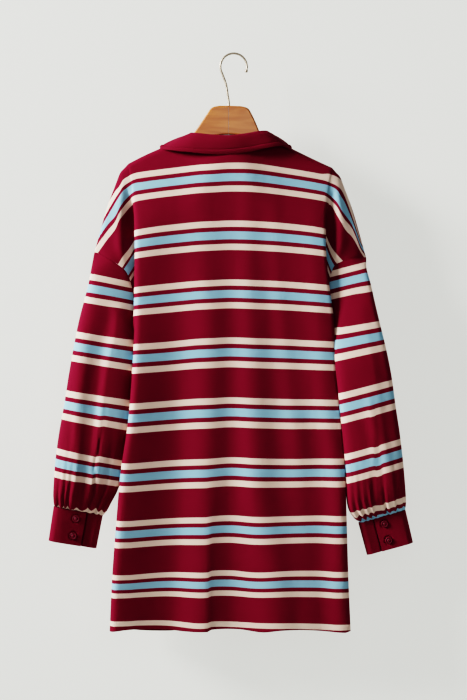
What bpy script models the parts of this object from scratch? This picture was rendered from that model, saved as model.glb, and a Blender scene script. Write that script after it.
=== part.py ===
"""Long-sleeved knitted polo dress with dropped shoulders, hung on a wooden hanger.

Lengths are millimetres in the tables below and metres in the scene (MM converts them).
The origin is the inside of the hook's crown, where a rod or nail carries the weight.
+Z is up, the wearer's left is +X and the back of the dress faces +Y. Distances called
"out" run sideways from the middle of the dress, on either side.
"""
import math
from collections import namedtuple

import bmesh
import bpy

MM = 0.001

# --- cloth ---------------------------------------------------------------------------
CLOTH = 1.4                 # jersey wall
BAND = 2.0                  # two plies: cuffs, collar, placket
SEAM_GAP = 0.3              # between two sewn pieces
CENTRE = 7.0                # the dress hangs this far to the left of the hook's crown
LEAN = 0.02                 # the right shoulder hangs lower, as a slope across the dress
LEAN_FADES = (300.0, 600.0)  # depths below the hook where that slope starts and ends fading
SWAY = -5.0                 # how far the body swings over to the right below the armholes
SWAY_STARTS = (400.0, 520.0)    # depths over which it swings over
SWAY_ENDS = (720.0, 1000.0)     # depths over which it comes back

# --- dress body ----------------------------------------------------------------------
HEM_DEPTH = 1067.0          # hem below the hook's crown
EDGE_TOP = 205.0            # where the side fold leaves the shoulder line, below the crown
UNDERARM = 505.0            # same, for the underarm level of the side fold
NECK_OUT = 82.0             # neck point, out from the middle
SLOT_HALF = 15.0            # half width of the placket's slot in the front
SLOT_DEPTH = 398.0          # foot of that slot
RIDGE_ROUND = 9.0           # how far the cloth rounds over the hanger's top edge
DROP_ROUND = 6.5            # same, where the dropped shoulder folds over beyond the hanger
DROP_FADE = 50.0            # drop over which that rounding dies away
HANG_OUT = (80.0, 170.0)    # drop over which the cloth reaches its full depth, at the
                            # middle and from 110 out
EDGE_POWER = 14.0           # squareness of the body's side folds
FOLD_LIFT = 1.5             # how far above the side fold's start its columns are measured
SIDE_TUCK = 2.0             # how far the back's side fold stands in from the outline
SIDE_DEPTH = (20.0, 24.0)   # y of the side folds at the underarm and further down

# The neck's cut edges, front and back, lie on the same surface as the panel below them.
Neckline = namedtuple("Neckline", "out back_z front_z")
NECKLINE = [
    Neckline(0.0, -177.0, -246.0),
    Neckline(15.3, -176.4, -243.0),
    Neckline(36.0, -174.0, -231.0),
    Neckline(56.0, -168.5, -207.0),
    Neckline(72.0, -160.5, -177.0),
    Neckline(79.5, -157.2, -161.5),
    Neckline(82.0, -156.0, -156.0),
]
NECK_RISE = 0.43            # slope of the shoulder line carried on above the neck's opening

ShoulderPoint = namedtuple("ShoulderPoint", "out z")
SHOULDER = [
    ShoulderPoint(82.0, -156.0),
    ShoulderPoint(110.0, -168.0),
    ShoulderPoint(133.0, -178.3),
    ShoulderPoint(158.0, -190.0),
    ShoulderPoint(188.0, -206.5),
]

# Half width of the body's outline, half depth of its middle, and how far the side seam
# is drawn in between the front and back side folds.
BodyLevel = namedtuple("BodyLevel", "depth half_width half_depth drawn_in")
BODY = [
    BodyLevel(505.0, 187.0, 33.0, 13.0),
    BodyLevel(600.0, 192.5, 34.5, 8.0),
    BodyLevel(680.0, 199.0, 36.0, 6.0),
    BodyLevel(760.0, 206.0, 37.0, 4.0),
    BodyLevel(850.0, 211.7, 38.0, 0.6),
    BodyLevel(955.0, 217.2, 39.0, 0.0),
    BodyLevel(1067.0, 222.0, 40.0, 0.0),
]

# The strip between the body's side fold and the armhole, one row for each level: the
# fold edge, the bottom of the pleat behind it, and the dropped shoulder that comes out
# of the pleat, as far as the armhole seam. The first row is the shoulder line itself.
Strip = namedtuple(
    "Strip", "edge_out edge_y edge_z pleat_out pleat_y pleat_z fall_out fall_y fall_z "
             "drop_out drop_y drop_z seam_out seam_y seam_z")
STRIPS = [
    Strip(188.0, 0.15, -206.5, 203.0, 0.15, -223.5, 211.0, 0.15, -244.0,
          228.0, 0.15, -291.0, 250.5, 0.15, -371.0),
    Strip(185.0, 14.0, -250.0, 191.0, 9.0, -257.0, 200.0, 12.5, -272.0,
          222.0, 15.5, -314.0, 243.0, 11.0, -372.5),
    Strip(181.0, 20.0, -294.0, 174.0, 9.5, -302.0, 188.0, 11.0, -314.0,
          208.0, 18.0, -343.0, 223.0, 18.5, -382.5),
    Strip(180.0, 22.0, -337.0, 164.0, 9.5, -345.0, 178.0, 9.0, -354.0,
          193.0, 16.0, -371.0, 204.5, 18.5, -394.0),
    Strip(180.2, 23.0, -379.0, 161.5, 9.5, -386.0, 170.0, 7.0, -392.0,
          180.0, 11.0, -401.0, 189.5, 15.5, -409.0),
    Strip(182.0, 23.5, -421.0, 163.0, 10.0, -426.0, 167.5, 6.0, -430.0,
          174.0, 7.5, -435.0, 181.0, 11.0, -440.0),
    Strip(184.5, 23.0, -463.0, 169.5, 13.0, -467.0, 171.0, 9.2, -469.0,
          174.8, 7.4, -471.5, 179.5, 8.0, -474.0),
    Strip(187.0, 20.0, -505.0, 181.5, 12.5, -507.0, 178.3, 8.6, -508.5,
          176.2, 4.6, -510.0, 177.0, 0.4, -512.0),
]

PLEAT_STARTS = (0.15, 0.45)  # shares of the way to the underarm over which the pleat closes
STRIP_MARKS = (0.0, 0.13, 0.26, 0.42, 0.58, 0.8, 1.0)   # where those points lie along it

# Long soft flutes down the back and front: where each one starts and ends its drift
# across the body, how wide it is, and its height at the shoulders and at the hem.
Flute = namedtuple("Flute", "out_top out_hem spread rise_top rise_hem")
BACK_FLUTES = [
    Flute(160.0, 176.0, 17.0, 2.5, 4.0),
    Flute(112.0, 118.0, 20.0, -3.5, -5.0),
    Flute(74.0, 70.0, 19.0, 3.5, 6.5),
    Flute(22.0, 19.0, 15.0, -4.0, -10.0),
    Flute(-15.0, -40.0, 18.0, 3.5, 7.0),
    Flute(-50.0, -108.0, 17.0, -3.5, -7.0),
    Flute(-85.0, -138.0, 17.0, 3.5, 6.0),
    Flute(-140.0, -178.0, 18.0, -2.5, -4.0),
]
FRONT_FLUTES = [
    Flute(150.0, 170.0, 19.0, 3.0, 4.0),
    Flute(95.0, 104.0, 18.0, -3.0, -6.0),
    Flute(48.0, 60.0, 18.0, 2.0, 7.0),
    Flute(-42.0, -52.0, 17.0, 2.0, 6.0),
    Flute(-80.0, -96.0, 18.0, -3.5, -6.5),
    Flute(-125.0, -140.0, 17.0, 3.0, 6.0),
]

# --- sleeves -------------------------------------------------------------------------
# Each level is a tilted ring: its outer and inner ends, and half its depth.
Ring = namedtuple("Ring", "outer_out outer_z inner_out inner_z half_depth")
SLEEVE_LEFT = [
    Ring(256.0, -397.0, 181.0, -522.0, 24.0),
    Ring(261.0, -425.0, 182.5, -529.0, 26.0),
    Ring(268.0, -462.0, 184.5, -541.0, 28.0),
    Ring(278.5, -505.0, 187.5, -560.0, 30.0),
    Ring(288.0, -548.0, 191.0, -587.0, 31.0),
    Ring(297.0, -595.0, 194.5, -622.0, 32.0),
    Ring(306.0, -650.0, 199.0, -671.0, 33.0),
    Ring(315.0, -700.0, 203.5, -720.0, 34.0),
    Ring(321.5, -750.0, 208.5, -769.0, 34.0),
    Ring(324.5, -787.0, 214.0, -806.0, 32.0),
    Ring(326.0, -812.0, 223.0, -831.0, 26.0),
    Ring(325.5, -827.0, 232.0, -845.5, 18.0),
]
SLEEVE_RIGHT = [
    Ring(250.5, -397.0, 181.0, -522.0, 24.0),
    Ring(258.0, -425.0, 182.5, -529.0, 26.0),
    Ring(266.0, -462.0, 186.0, -541.0, 28.0),
    Ring(276.0, -505.0, 191.0, -560.0, 30.0),
    Ring(286.0, -548.0, 195.5, -587.0, 31.0),
    Ring(295.0, -595.0, 199.0, -622.0, 32.0),
    Ring(302.5, -650.0, 203.5, -673.0, 33.0),
    Ring(310.0, -700.0, 208.5, -723.0, 34.0),
    Ring(316.0, -750.0, 212.5, -773.0, 34.0),
    Ring(320.0, -790.0, 216.0, -812.0, 32.0),
    Ring(322.3, -817.0, 221.5, -840.0, 26.0),
    Ring(322.6, -832.0, 230.5, -856.0, 18.0),
]
SLEEVE_SQUARENESS = 2.3
SLEEVE_TAPER = 0.45         # how much thinner a sleeve is towards the body

# --- cuffs ---------------------------------------------------------------------------
CUFF_HALF_DEPTH = 11.0
CUFF_LAP = 0.66             # lap edge, as a share of the cuff's width from its outer end
CUFF_UNDERLAP = 30.0        # how far the under end runs on below the lap
CUFF_PLY_STEP = 2.9         # middle of the upper ply over the middle of the lower one
CUFF_RISE_END = 1.07        # share of the round where the under end has come out level
CUFF_BEND_STEPS = 6         # facets round each of a cuff's ends
CUFF_LEVELS = 3             # facets up a cuff
# Top corners (outer, inner) and bottom corners of each cuff.
CuffCorners = namedtuple("CuffCorners", "top_outer top_inner foot_outer foot_inner")
CUFF_LEFT = CuffCorners((325.0, -835.0), (237.0, -853.0), (334.5, -898.0), (249.0, -914.0))
CUFF_RIGHT = CuffCorners((322.0, -841.0), (236.5, -864.5), (336.0, -901.0), (252.5, -923.5))

# --- collar --------------------------------------------------------------------------
# From the middle of the back round to the front edge: where the stand meets the neck
# edge, the fold where it turns into the leaf, and the leaf's lower edge.
CollarStation = namedtuple(
    "CollarStation", "on_front neck_out fold_out fold_y fold_z leaf_out leaf_y leaf_z")
COLLAR = [
    CollarStation(False, 0.0, 0.0, 31.5, -150.5, 0.0, 46.0, -182.5),
    CollarStation(False, 30.0, 30.0, 29.5, -149.3, 36.0, 44.0, -180.5),
    CollarStation(False, 58.0, 56.0, 22.5, -146.5, 78.0, 37.0, -178.0),
    CollarStation(False, 76.0, 71.0, 9.5, -144.3, 112.0, 22.0, -177.0),
    CollarStation(False, 82.3, 74.0, -3.0, -145.2, 128.0, 2.0, -173.5),
    CollarStation(True, 76.5, 71.0, -13.0, -151.0, 126.0, -20.0, -188.0),
    CollarStation(True, 64.0, 60.0, -24.5, -169.0, 114.0, -38.0, -222.0),
    CollarStation(True, 44.0, 42.0, -34.0, -197.0, 94.0, -45.0, -262.0),
    CollarStation(True, 19.0, 19.0, -41.5, -224.0, 58.0, -49.5, -302.0),
]
COLLAR_FINE = 2             # facets between two stations
STAND_IN = 1.2              # how far the stand's foot is set in from the neck edge
STAND_LIFT = 2.2            # foot of the stand above the neck edge it is sewn to
STAND_DROP = 2.2            # top of the stand below the leaf's fold
LEAF_BULGE = 3.0            # how far the leaf stands off the straight line to its edge
LEAF_RIGHT_IN = 13.0        # how far its right end is drawn in towards the neck
LEAF_LIFT = 1.6             # how far the whole leaf stands off the stand and the panel
LEAF_ROWS = (0.0, 0.15, 0.55, 1.0)  # shares of the way from the fold to the edge

# --- placket and buttons -------------------------------------------------------------
PLACKET_TOP = 250.0         # depths below the hook
PLACKET_FOOT = 404.0
PLACKET_HALF = 17.5
PLACKET_LIFT = -(0.5 * CLOTH + 1.9 + BAND)  # y of the upper strip from the panel's middle
UNDER_FOOT = 392.0
UNDER_HALF = 14.4
UNDER_LIFT = 0.3
PLACKET_STEPS = 6
BUTTON_RADIUS = 6.5
BUTTON_HEIGHT = 3.2
BUTTON_SIDES = 16
BUTTON_STAND = 0.6          # extra gap under the front buttons
# Half section from the middle of the dome, over the raised rim, to the middle of the foot.
ButtonPoint = namedtuple("ButtonPoint", "radius_share height_share")
BUTTON = [
    ButtonPoint(0.0, 1.0),
    ButtonPoint(0.29, 0.94),
    ButtonPoint(0.48, 0.66),
    ButtonPoint(0.62, 0.52),
    ButtonPoint(0.74, 0.72),
    ButtonPoint(0.88, 0.74),
    ButtonPoint(1.0, 0.4),
    ButtonPoint(0.92, 0.0),
    ButtonPoint(0.0, 0.0),
]
FRONT_BUTTONS = (268.0, 315.0, 362.0)   # depths below the hook
CUFF_BUTTONS = (0.22, 0.73)             # shares of the cuff's height
CUFF_BUTTON_INSET = 17.0                # from the lap edge to a button's middle

# --- hanger --------------------------------------------------------------------------
HANGER_THICK = 11.0
HANGER_EDGE = 3.0           # rounded edge
HANGER_JOINT = 10.0         # where the two wooden halves meet
HangerStation = namedtuple("HangerStation", "out top_z foot_z")
HANGER = [
    HangerStation(0.0, -97.0, -147.0),
    HangerStation(20.0, -97.4, -149.5),
    HangerStation(29.0, -101.0, -153.5),
    HangerStation(38.0, -112.5, -158.5),
    HangerStation(48.0, -127.5, -166.0),
    HangerStation(59.0, -143.0, -175.0),
    HangerStation(70.0, -154.8, -184.0),
    HangerStation(92.0, -165.5, -196.0),
    HangerStation(125.0, -179.5, -211.0),
    HangerStation(160.0, -196.0, -226.0),
    HangerStation(181.0, -207.5, -233.0),
    HangerStation(189.0, -214.5, -233.0),
    HangerStation(194.0, -222.5, -229.0),
]
HOOK_WIRE = 2.0             # radius of the wire
HOOK_LOOP = 22.5            # inside radius of the loop
HOOK_LOOP_X = 0.6
HOOK_LOOP_TURNS = (-22.0, 193.0)    # degrees from +X where the loop starts and ends
HOOK_LOOP_STEPS = 22
# The stem, from its root in the wood up to the start of the loop.
HookPoint = namedtuple("HookPoint", "x z")
HOOK_STEM = [
    HookPoint(9.2, -96.4),
    HookPoint(9.6, -87.0),
    HookPoint(11.5, -75.5),
    HookPoint(14.5, -56.0),
    HookPoint(20.0, -40.0),
]
# The small ball at the free end: distance beyond the loop and width over the wire's.
BallPoint = namedtuple("BallPoint", "reach width")
HOOK_BALL = [
    BallPoint(1.0, 1.25),
    BallPoint(2.2, 1.45),
    BallPoint(3.6, 1.45),
    BallPoint(4.8, 1.15),
    BallPoint(5.6, 0.5),
]

# --- mesh fineness -------------------------------------------------------------------
BODY_COLUMNS = (0.0, 0.14, 0.26, 0.372, 0.3865, 0.51, 0.635, 0.76, 0.875, 0.955, 1.0)
STRIP_COLUMNS = (0.13, 0.27, 0.4, 0.52, 0.66, 0.82, 0.965, 1.0)
NECK_ROW = 0.0012           # share of the way down of the second row, inside the neck point
ARM_ROWS = (0.0, 0.00033, 0.02, 0.1, 0.22, 0.36, 0.52, 0.68, 0.82, 0.93, 1.0)
LOWER_ROWS = (0.07, 0.18, 0.31, 0.45, 0.59, 0.73, 0.87, 1.0)

COLORS = {
    "burgundy": (0.125, 0.006, 0.022, 1.0),
    "crimson": (0.16, 0.005, 0.016, 1.0),
    "wood": (0.42, 0.2, 0.075, 1.0),
    "metal": (0.55, 0.5, 0.44, 1.0),
}
FINISHES = {"burgundy": (0.75, 0.0), "crimson": (0.8, 0.0), "wood": (0.4, 0.0),
            "metal": (0.25, 1.0)}


# --- small maths ---------------------------------------------------------------------
def eased(value):
    """Smooth 0-to-1 step of a value that is first held between 0 and 1."""
    held = min(1.0, max(0.0, value))
    return held * held * (3.0 - 2.0 * held)


def through(places, values, place):
    """Smooth curve through the values, which stand at rising places."""
    if place <= places[0]:
        return values[0]
    if place >= places[-1]:
        return values[-1]
    i = max(k for k in range(len(places) - 1) if places[k] <= place)

    def slope(k):
        low = max(k - 1, 0)
        high = min(k + 1, len(places) - 1)
        return (values[high] - values[low]) / (places[high] - places[low])

    span = places[i + 1] - places[i]
    t = (place - places[i]) / span
    return (values[i] * (1 + 2 * t) * (1 - t) ** 2 + values[i + 1] * t * t * (3 - 2 * t)
            + span * (slope(i) * t * (1 - t) ** 2 - slope(i + 1) * t * t * (1 - t)))


def column(table, key, wanted, place):
    """Value of one named column of a table at a place along another of its columns."""
    rows = sorted(table, key=lambda row: getattr(row, key))
    return through([getattr(row, key) for row in rows],
                   [getattr(row, wanted) for row in rows], place)


def by_row(table, wanted, share):
    """Value of one named column at a share of the way down a table's rows."""
    return through(list(range(len(table))), [getattr(row, wanted) for row in table],
                   share * (len(table) - 1))


# --- the dress body as a surface -----------------------------------------------------
def body_edge(down):
    """Side fold at a share of the way from shoulder to hem: out, y and z."""
    under = (UNDERARM - EDGE_TOP) / (HEM_DEPTH - EDGE_TOP)
    if down <= under:
        share = down / under
        return (by_row(STRIPS, "edge_out", share),
                by_row(STRIPS, "edge_y", share) + ridge_round(share),
                by_row(STRIPS, "edge_z", share))
    depth = EDGE_TOP + (HEM_DEPTH - EDGE_TOP) * down
    width = column(BODY, "depth", "half_width", depth)
    drawn = column(BODY, "depth", "drawn_in", depth)
    out = width - SIDE_TUCK * (1.0 - drawn / BODY[0].drawn_in)
    near, far = SIDE_DEPTH
    return out, near + (far - near) * eased((depth - UNDERARM) / 200.0), -depth


def flute_rise(flutes, x, depth):
    """Height of the flutes at a place on the panel."""
    share = eased((depth - 200.0) / (HEM_DEPTH - 200.0))
    total = 0.0
    for flute in flutes:
        middle = flute.out_top + (flute.out_hem - flute.out_top) * share
        height = flute.rise_top + (flute.rise_hem - flute.rise_top) * share
        total += height * math.exp(-((x - middle) / flute.spread) ** 2)
    return total


def body_point(front, side, share, down):
    """Point on the body between the placket's slot (share 0) and the side fold (share 1)."""
    start = SLOT_HALF + SEAM_GAP
    out = start + (body_edge(down)[0] - start) * share
    top_out = start + (STRIPS[0].edge_out - start) * share
    if top_out < NECK_OUT:
        down = max(down, min(NECK_ROW, 300.0 * down))
    return body_at(front, side, out, top_out, down)


def body_at(front, side, out, top_out, down):
    """Point on the body at a distance out, on the column that starts at top_out."""
    edge_out, edge_y, edge_z = body_edge(down)
    if top_out < NECK_OUT:
        top_z = column(NECKLINE, "out", "front_z" if front else "back_z", top_out)
        ridge_z = SHOULDER[0].z + NECK_RISE * (NECK_OUT - top_out)
    else:
        top_z = ridge_z = column(SHOULDER, "out", "z", top_out)
    share = (edge_z + EDGE_TOP + FOLD_LIFT) / (EDGE_TOP + FOLD_LIFT - HEM_DEPTH)
    z = top_z - (HEM_DEPTH + top_z) * share
    drop = ridge_z - z
    depth = -z
    full = column(BODY, "depth", "half_depth", max(depth, UNDERARM))
    arch = math.sqrt(max(0.0, 1.0 - (1.0 - min(drop / RIDGE_ROUND, 1.0)) ** 2))
    hang_out = HANG_OUT[0] + (HANG_OUT[1] - HANG_OUT[0]) * eased(top_out / 110.0)
    hang = math.sin(0.5 * math.pi * min(1.0, drop / hang_out))
    y = 0.5 * SEAM_GAP + RIDGE_ROUND * arch + (full - RIDGE_ROUND) * hang
    flutes = FRONT_FLUTES if front else BACK_FLUTES
    y += flute_rise(flutes, side * out, depth) * hang * (1.0 - (out / edge_out) ** 8)
    rounding = math.sqrt(max(0.0, 1.0 - min(1.0, out / edge_out) ** EDGE_POWER))
    y = edge_y + (y - edge_y) * rounding
    return side * out, -y if front else y, z


def ridge_round(share):
    """Extra y that rounds the strip over the shoulder line, at a share of its way down."""
    reach = share * (UNDERARM - EDGE_TOP)
    arch = math.sqrt(max(0.0, 1.0 - (1.0 - min(reach / DROP_ROUND, 1.0)) ** 2))
    return DROP_ROUND * arch * (1.0 - eased(reach / DROP_FADE))


def strip_path(down):
    """Control points from the side fold to the armhole or side seam."""
    under = (UNDERARM - EDGE_TOP) / (HEM_DEPTH - EDGE_TOP)
    if down > under:
        edge_out, edge_y, edge_z = body_edge(down)
        depth = -edge_z
        width = column(BODY, "depth", "half_width", depth)
        drawn = column(BODY, "depth", "drawn_in", depth)
        settle = eased((depth - UNDERARM) / 60.0)
        points = []
        for step in range(7):
            share = step / 6.0
            tuck = SIDE_TUCK * (1.0 - share) ** 2 * (1.0 - drawn / BODY[0].drawn_in)
            out = width - drawn * eased(share) - tuck
            sag = 7.0 * (1.0 - settle) * share
            end_y = 0.15 + 0.25 * (1.0 - settle)
            points.append((out, edge_y * (1.0 - share) + end_y * share, edge_z - sag))
        return points
    share = down / under
    marks = {}
    for name in ("edge", "pleat", "fall", "drop", "seam"):
        out, y, z = (by_row(STRIPS, name + part, share) for part in ("_out", "_y", "_z"))
        marks[name] = (out, y + ridge_round(share), z)
    folded = eased((share - PLEAT_STARTS[0]) / (PLEAT_STARTS[1] - PLEAT_STARTS[0]))
    edge = marks["edge"]
    pleat = marks["pleat"]
    between = tuple((a + b) / 2.0 for a, b in zip(edge, pleat))
    turn = tuple((a * 0.75 + b * 0.25) for a, b in zip(edge, pleat))
    turn = (turn[0] + 3.0 * folded, turn[1] - 1.5 * folded, turn[2])
    between = (between[0], between[1] - 1.0 * folded, between[2])
    return [edge, turn, between, pleat, marks["fall"], marks["drop"], marks["seam"]]


def strip_point(front, side, share, down):
    """Point on the strip between the side fold (share 0) and its seam (share 1)."""
    path = strip_path(down)
    out, y, z = (through(STRIP_MARKS, [point[axis] for point in path], share)
                 for axis in range(3))
    return side * out, -y if front else y, z


def sway(depth):
    """Sideways shift of the body at a depth below the hook."""
    into = eased((depth - SWAY_STARTS[0]) / (SWAY_STARTS[1] - SWAY_STARTS[0]))
    back = eased((depth - SWAY_ENDS[0]) / (SWAY_ENDS[1] - SWAY_ENDS[0]))
    return SWAY * into * (1.0 - back)


def leaned(point):
    """The point with the dress's lean, its sway and its place off the hook's middle."""
    x, y, z = point
    fade = 1.0 - eased((-z - LEAN_FADES[0]) / (LEAN_FADES[1] - LEAN_FADES[0]))
    return x + CENTRE + sway(-z), y, z + LEAN * x * fade


def row_shares():
    """Shares of the way down the panel of every row, the armhole's rows first."""
    under = (UNDERARM - EDGE_TOP) / (HEM_DEPTH - EDGE_TOP)
    return [under * row for row in ARM_ROWS] + [under + (1.0 - under) * row for row in LOWER_ROWS]


def panel_rows(front):
    """Rows of points of the front or back, from its left seam to its right seam."""
    rows = []
    for down in row_shares():
        row = []
        for side in (1, -1):
            half = [strip_point(front, side, share, down) for share in STRIP_COLUMNS]
            inner = [body_point(front, side, share, down) for share in BODY_COLUMNS]
            centre = body_at(front, side, 0.0, 0.0, down)
            if side == 1:
                row += list(reversed(half)) + list(reversed(inner)) + [centre]
            else:
                row += inner + half
        rows.append([leaned(point) for point in row])
    return rows


def sewn_back(rows):
    """The rows with their armhole ends drawn back by half a seam gap."""
    for row in rows:
        for end, inside in ((0, 1), (-1, -2)):
            row[end] = step_from(row[end], row[inside], 0.5 * SEAM_GAP)
    return rows


def step_from(start, target, length):
    """The point a given length from start towards target."""
    reach = math.dist(start, target)
    return tuple(a + (b - a) * length / reach for a, b in zip(start, target))


# --- meshes --------------------------------------------------------------------------
def material(name):
    """Principled material of one of the named colours, made once."""
    found = bpy.data.materials.get(name)
    if found:
        return found
    made = bpy.data.materials.new(name)
    made.use_nodes = True
    shader = made.node_tree.nodes["Principled BSDF"]
    roughness, metallic = FINISHES[name]
    shader.inputs["Base Color"].default_value = COLORS[name]
    shader.inputs["Roughness"].default_value = roughness
    shader.inputs["Metallic"].default_value = metallic
    made.diffuse_color = COLORS[name]
    return made


def keep(obj, collection, color):
    """Puts an object in the dress's collection with its material."""
    for old in list(obj.users_collection):
        old.objects.unlink(obj)
    collection.objects.link(obj)
    obj.data.materials.clear()
    obj.data.materials.append(material(color))
    return obj


def shell(name, rows, wall, collection, color, around=False, skipped=None):
    """Open sheet through rows of points (millimetres), thickened about its middle."""
    mesh = bmesh.new()
    verts = [[mesh.verts.new([value * MM for value in point]) for point in row] for row in rows]
    count = len(rows[0])
    for i in range(len(rows) - 1):
        for j in range(count if around else count - 1):
            if skipped and skipped(i, j):
                continue
            k = (j + 1) % count
            mesh.faces.new((verts[i][j], verts[i + 1][j], verts[i + 1][k], verts[i][k]))
    loose = [vert for vert in mesh.verts if not vert.link_faces]
    bmesh.ops.delete(mesh, geom=loose, context="VERTS")
    bmesh.ops.recalc_face_normals(mesh, faces=mesh.faces)
    data = bpy.data.meshes.new(name)
    mesh.to_mesh(data)
    mesh.free()
    data.shade_smooth()
    obj = bpy.data.objects.new(name, data)
    keep(obj, collection, color)
    solid = obj.modifiers.new("wall", "SOLIDIFY")
    solid.thickness = wall * MM
    solid.offset = 0.0
    solid.use_even_offset = False
    return obj


# --- front and back ------------------------------------------------------------------
def build_panels(collection):
    """The back, and the front with its slot for the placket."""
    back = sewn_back(panel_rows(False))
    front = sewn_back(panel_rows(True))
    shell("back", back, CLOTH, collection, "burgundy")
    middle = len(front[0]) // 2

    def in_slot(i, j):
        return j in (middle - 1, middle) and front[i + 1][middle][2] > -SLOT_DEPTH

    shell("front", front, CLOTH, collection, "burgundy", skipped=in_slot)
    return back, front


# --- sleeves -------------------------------------------------------------------------
def armhole(side, rows_back, rows_front, reach):
    """Ring of points a little beyond the armhole's edge, from its top round the back."""
    end = 0 if side == 1 else -1
    inside = 1 if side == 1 else -2
    halves = []
    for rows in (rows_back, rows_front):
        half = []
        for i, share in enumerate(ARM_ROWS):
            along = step_from((0.0, 0.0, 0.0),
                              [a - b for a, b in zip(rows[i][end], rows[i][inside])], 1.0)
            turned = eased((share - 0.7) / 0.2)
            aim = [a * (1.0 - turned) + b * turned for a, b in zip(along, (side, 0.0, -0.4))]
            length = reach + 2.0 * SEAM_GAP * turned
            half.append(tuple(a + b * length for a, b in zip(rows[i][end], aim)))
        halves.append(half)
    back, front = halves
    top = tuple((a + b) / 2.0 for a, b in zip(back[0], front[0]))
    corner = rows_back[len(ARM_ROWS) - 1][end]
    foot = (corner[0] + side * (CLOTH + SEAM_GAP + 0.6 * reach), 0.0, corner[2] - reach)
    return [top] + back[1:-1] + [foot] + list(reversed(front[1:-1]))


def ring_point(ring, side, turn):
    """Point of a tilted sleeve ring at a turn from its outer end, in radians."""
    squareness = 2.0 / SLEEVE_SQUARENESS
    across = math.copysign(abs(math.cos(turn)) ** squareness, math.cos(turn))
    deep = math.copysign(abs(math.sin(turn)) ** squareness, math.sin(turn))
    deep *= 1.0 - SLEEVE_TAPER * max(0.0, -across) ** 2
    out = (ring.outer_out + ring.inner_out) / 2 + across * (ring.outer_out - ring.inner_out) / 2
    z = (ring.outer_z + ring.inner_z) / 2 + across * (ring.outer_z - ring.inner_z) / 2
    shift = sway(-ring.inner_z) * (0.5 - 0.5 * across)
    return side * out + CENTRE + shift, deep * ring.half_depth, z


def sleeve_turns(ring):
    """Turns round the sleeve of its columns, spread as the armhole's points are."""
    count = len(ARM_ROWS)
    reach = [0.0]
    for a, b in zip(ring, ring[1:count]):
        reach.append(reach[-1] + math.dist(a, b))
    back = [math.pi * part / reach[-1] for part in reach]
    return back + [2 * math.pi - turn for turn in reversed(back[1:-1])]


def cuff_ring_end(corners):
    """The sleeve's last ring, just above the cuff's top edge."""
    (outer_out, outer_z), (inner_out, inner_z) = corners.top_outer, corners.top_inner
    lift = 0.65 * CLOTH + SEAM_GAP
    return Ring(outer_out - 0.5, outer_z + lift, inner_out + 0.5, inner_z + lift,
                CUFF_HALF_DEPTH)


def build_sleeve(name, side, table, corners, rows_back, rows_front, collection):
    """Full sleeve from the armhole to the cuff's top edge."""
    rows = [armhole(side, rows_back, rows_front, reach) for reach in (SEAM_GAP, 2.0)]
    turns = sleeve_turns(rows[0])
    for ring in table + [cuff_ring_end(corners)]:
        rows.append([ring_point(ring, side, turn) for turn in turns])
    shell(name, rows, CLOTH, collection, "burgundy", around=True)


# --- cuffs ---------------------------------------------------------------------------
def cuff_point(corners, side, share, height, lift):
    """Point on a cuff. share runs 0 to 1 along the back from the outer end to the inner
    end, then 1 to 2 along the front; lift moves it out from the band's middle."""
    top = [a + (b - a) * 0.5 for a, b in zip(corners.top_outer, corners.top_inner)]
    foot = [a + (b - a) * 0.5 for a, b in zip(corners.foot_outer, corners.foot_inner)]
    middle = [a + (b - a) * height for a, b in zip(top, foot)]
    half_top = [(a - b) / 2 for a, b in zip(corners.top_outer, corners.top_inner)]
    half_foot = [(a - b) / 2 for a, b in zip(corners.foot_outer, corners.foot_inner)]
    half = [a + (b - a) * height for a, b in zip(half_top, half_foot)]
    length = math.hypot(*half)
    radius = CUFF_HALF_DEPTH
    straight = length - radius
    lap = 2.0 * straight + math.pi * radius
    along = share * lap - 0.5 * math.pi * radius
    along %= 2.0 * lap
    if along < 2.0 * straight:
        across, deep = straight - along, radius + lift
    elif along < lap:
        turn = (along - 2.0 * straight) / radius
        across, deep = -straight - (radius + lift) * math.sin(turn), (radius + lift) * math.cos(turn)
    elif along < lap + 2.0 * straight:
        across, deep = -straight + (along - lap), -(radius + lift)
    else:
        turn = (along - lap - 2.0 * straight) / radius
        across, deep = straight + (radius + lift) * math.sin(turn), -(radius + lift) * math.cos(turn)
    out = middle[0] + half[0] / length * across
    z = middle[1] + half[1] / length * across
    return side * out + CENTRE, deep, z


def cuff_round(corners):
    """Length of the band along one side of the cuff, from end to end."""
    length = math.dist(corners.top_outer, corners.top_inner) / 2.0
    return 2.0 * (length - CUFF_HALF_DEPTH) + math.pi * CUFF_HALF_DEPTH


def cuff_stops(band):
    """Shares round the cuff where its band has a row, from its under end to the lap."""
    under = CUFF_LAP - CUFF_UNDERLAP / band
    bend = 1.05 * math.pi * CUFF_HALF_DEPTH / band
    stops = [under, (under + CUFF_LAP) / 2, CUFF_LAP, CUFF_LAP + 0.08]
    for end in (1.0, 2.0):
        stops += [end + bend * (i / CUFF_BEND_STEPS - 0.5) for i in range(CUFF_BEND_STEPS + 1)]
        stops += [end + 0.35, end + 0.5 + 0.1 * (2.0 - end)]
    return stops + [2.0 + CUFF_LAP]


def build_cuff(name, side, corners, collection):
    """Band that runs under its own lap, then once round to the lap edge."""
    stops = []
    for share in cuff_stops(cuff_round(corners)):
        risen = eased((share - CUFF_LAP) / (CUFF_RISE_END - CUFF_LAP))
        stops.append((share, -CUFF_PLY_STEP * (1.0 - risen)))
    rows = []
    for level in range(CUFF_LEVELS + 1):
        height = level / CUFF_LEVELS
        rows.append([cuff_point(corners, side, share, height, lift) for share, lift in stops])
    shell(name, rows, BAND, collection, "burgundy")


# --- collar --------------------------------------------------------------------------
def collar_ring(wanted):
    """Points all round the collar from its left front edge to its right one."""
    left = [wanted(row, 1) for row in reversed(COLLAR)]
    right = [wanted(row, -1) for row in COLLAR[1:]]
    return left + right


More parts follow.
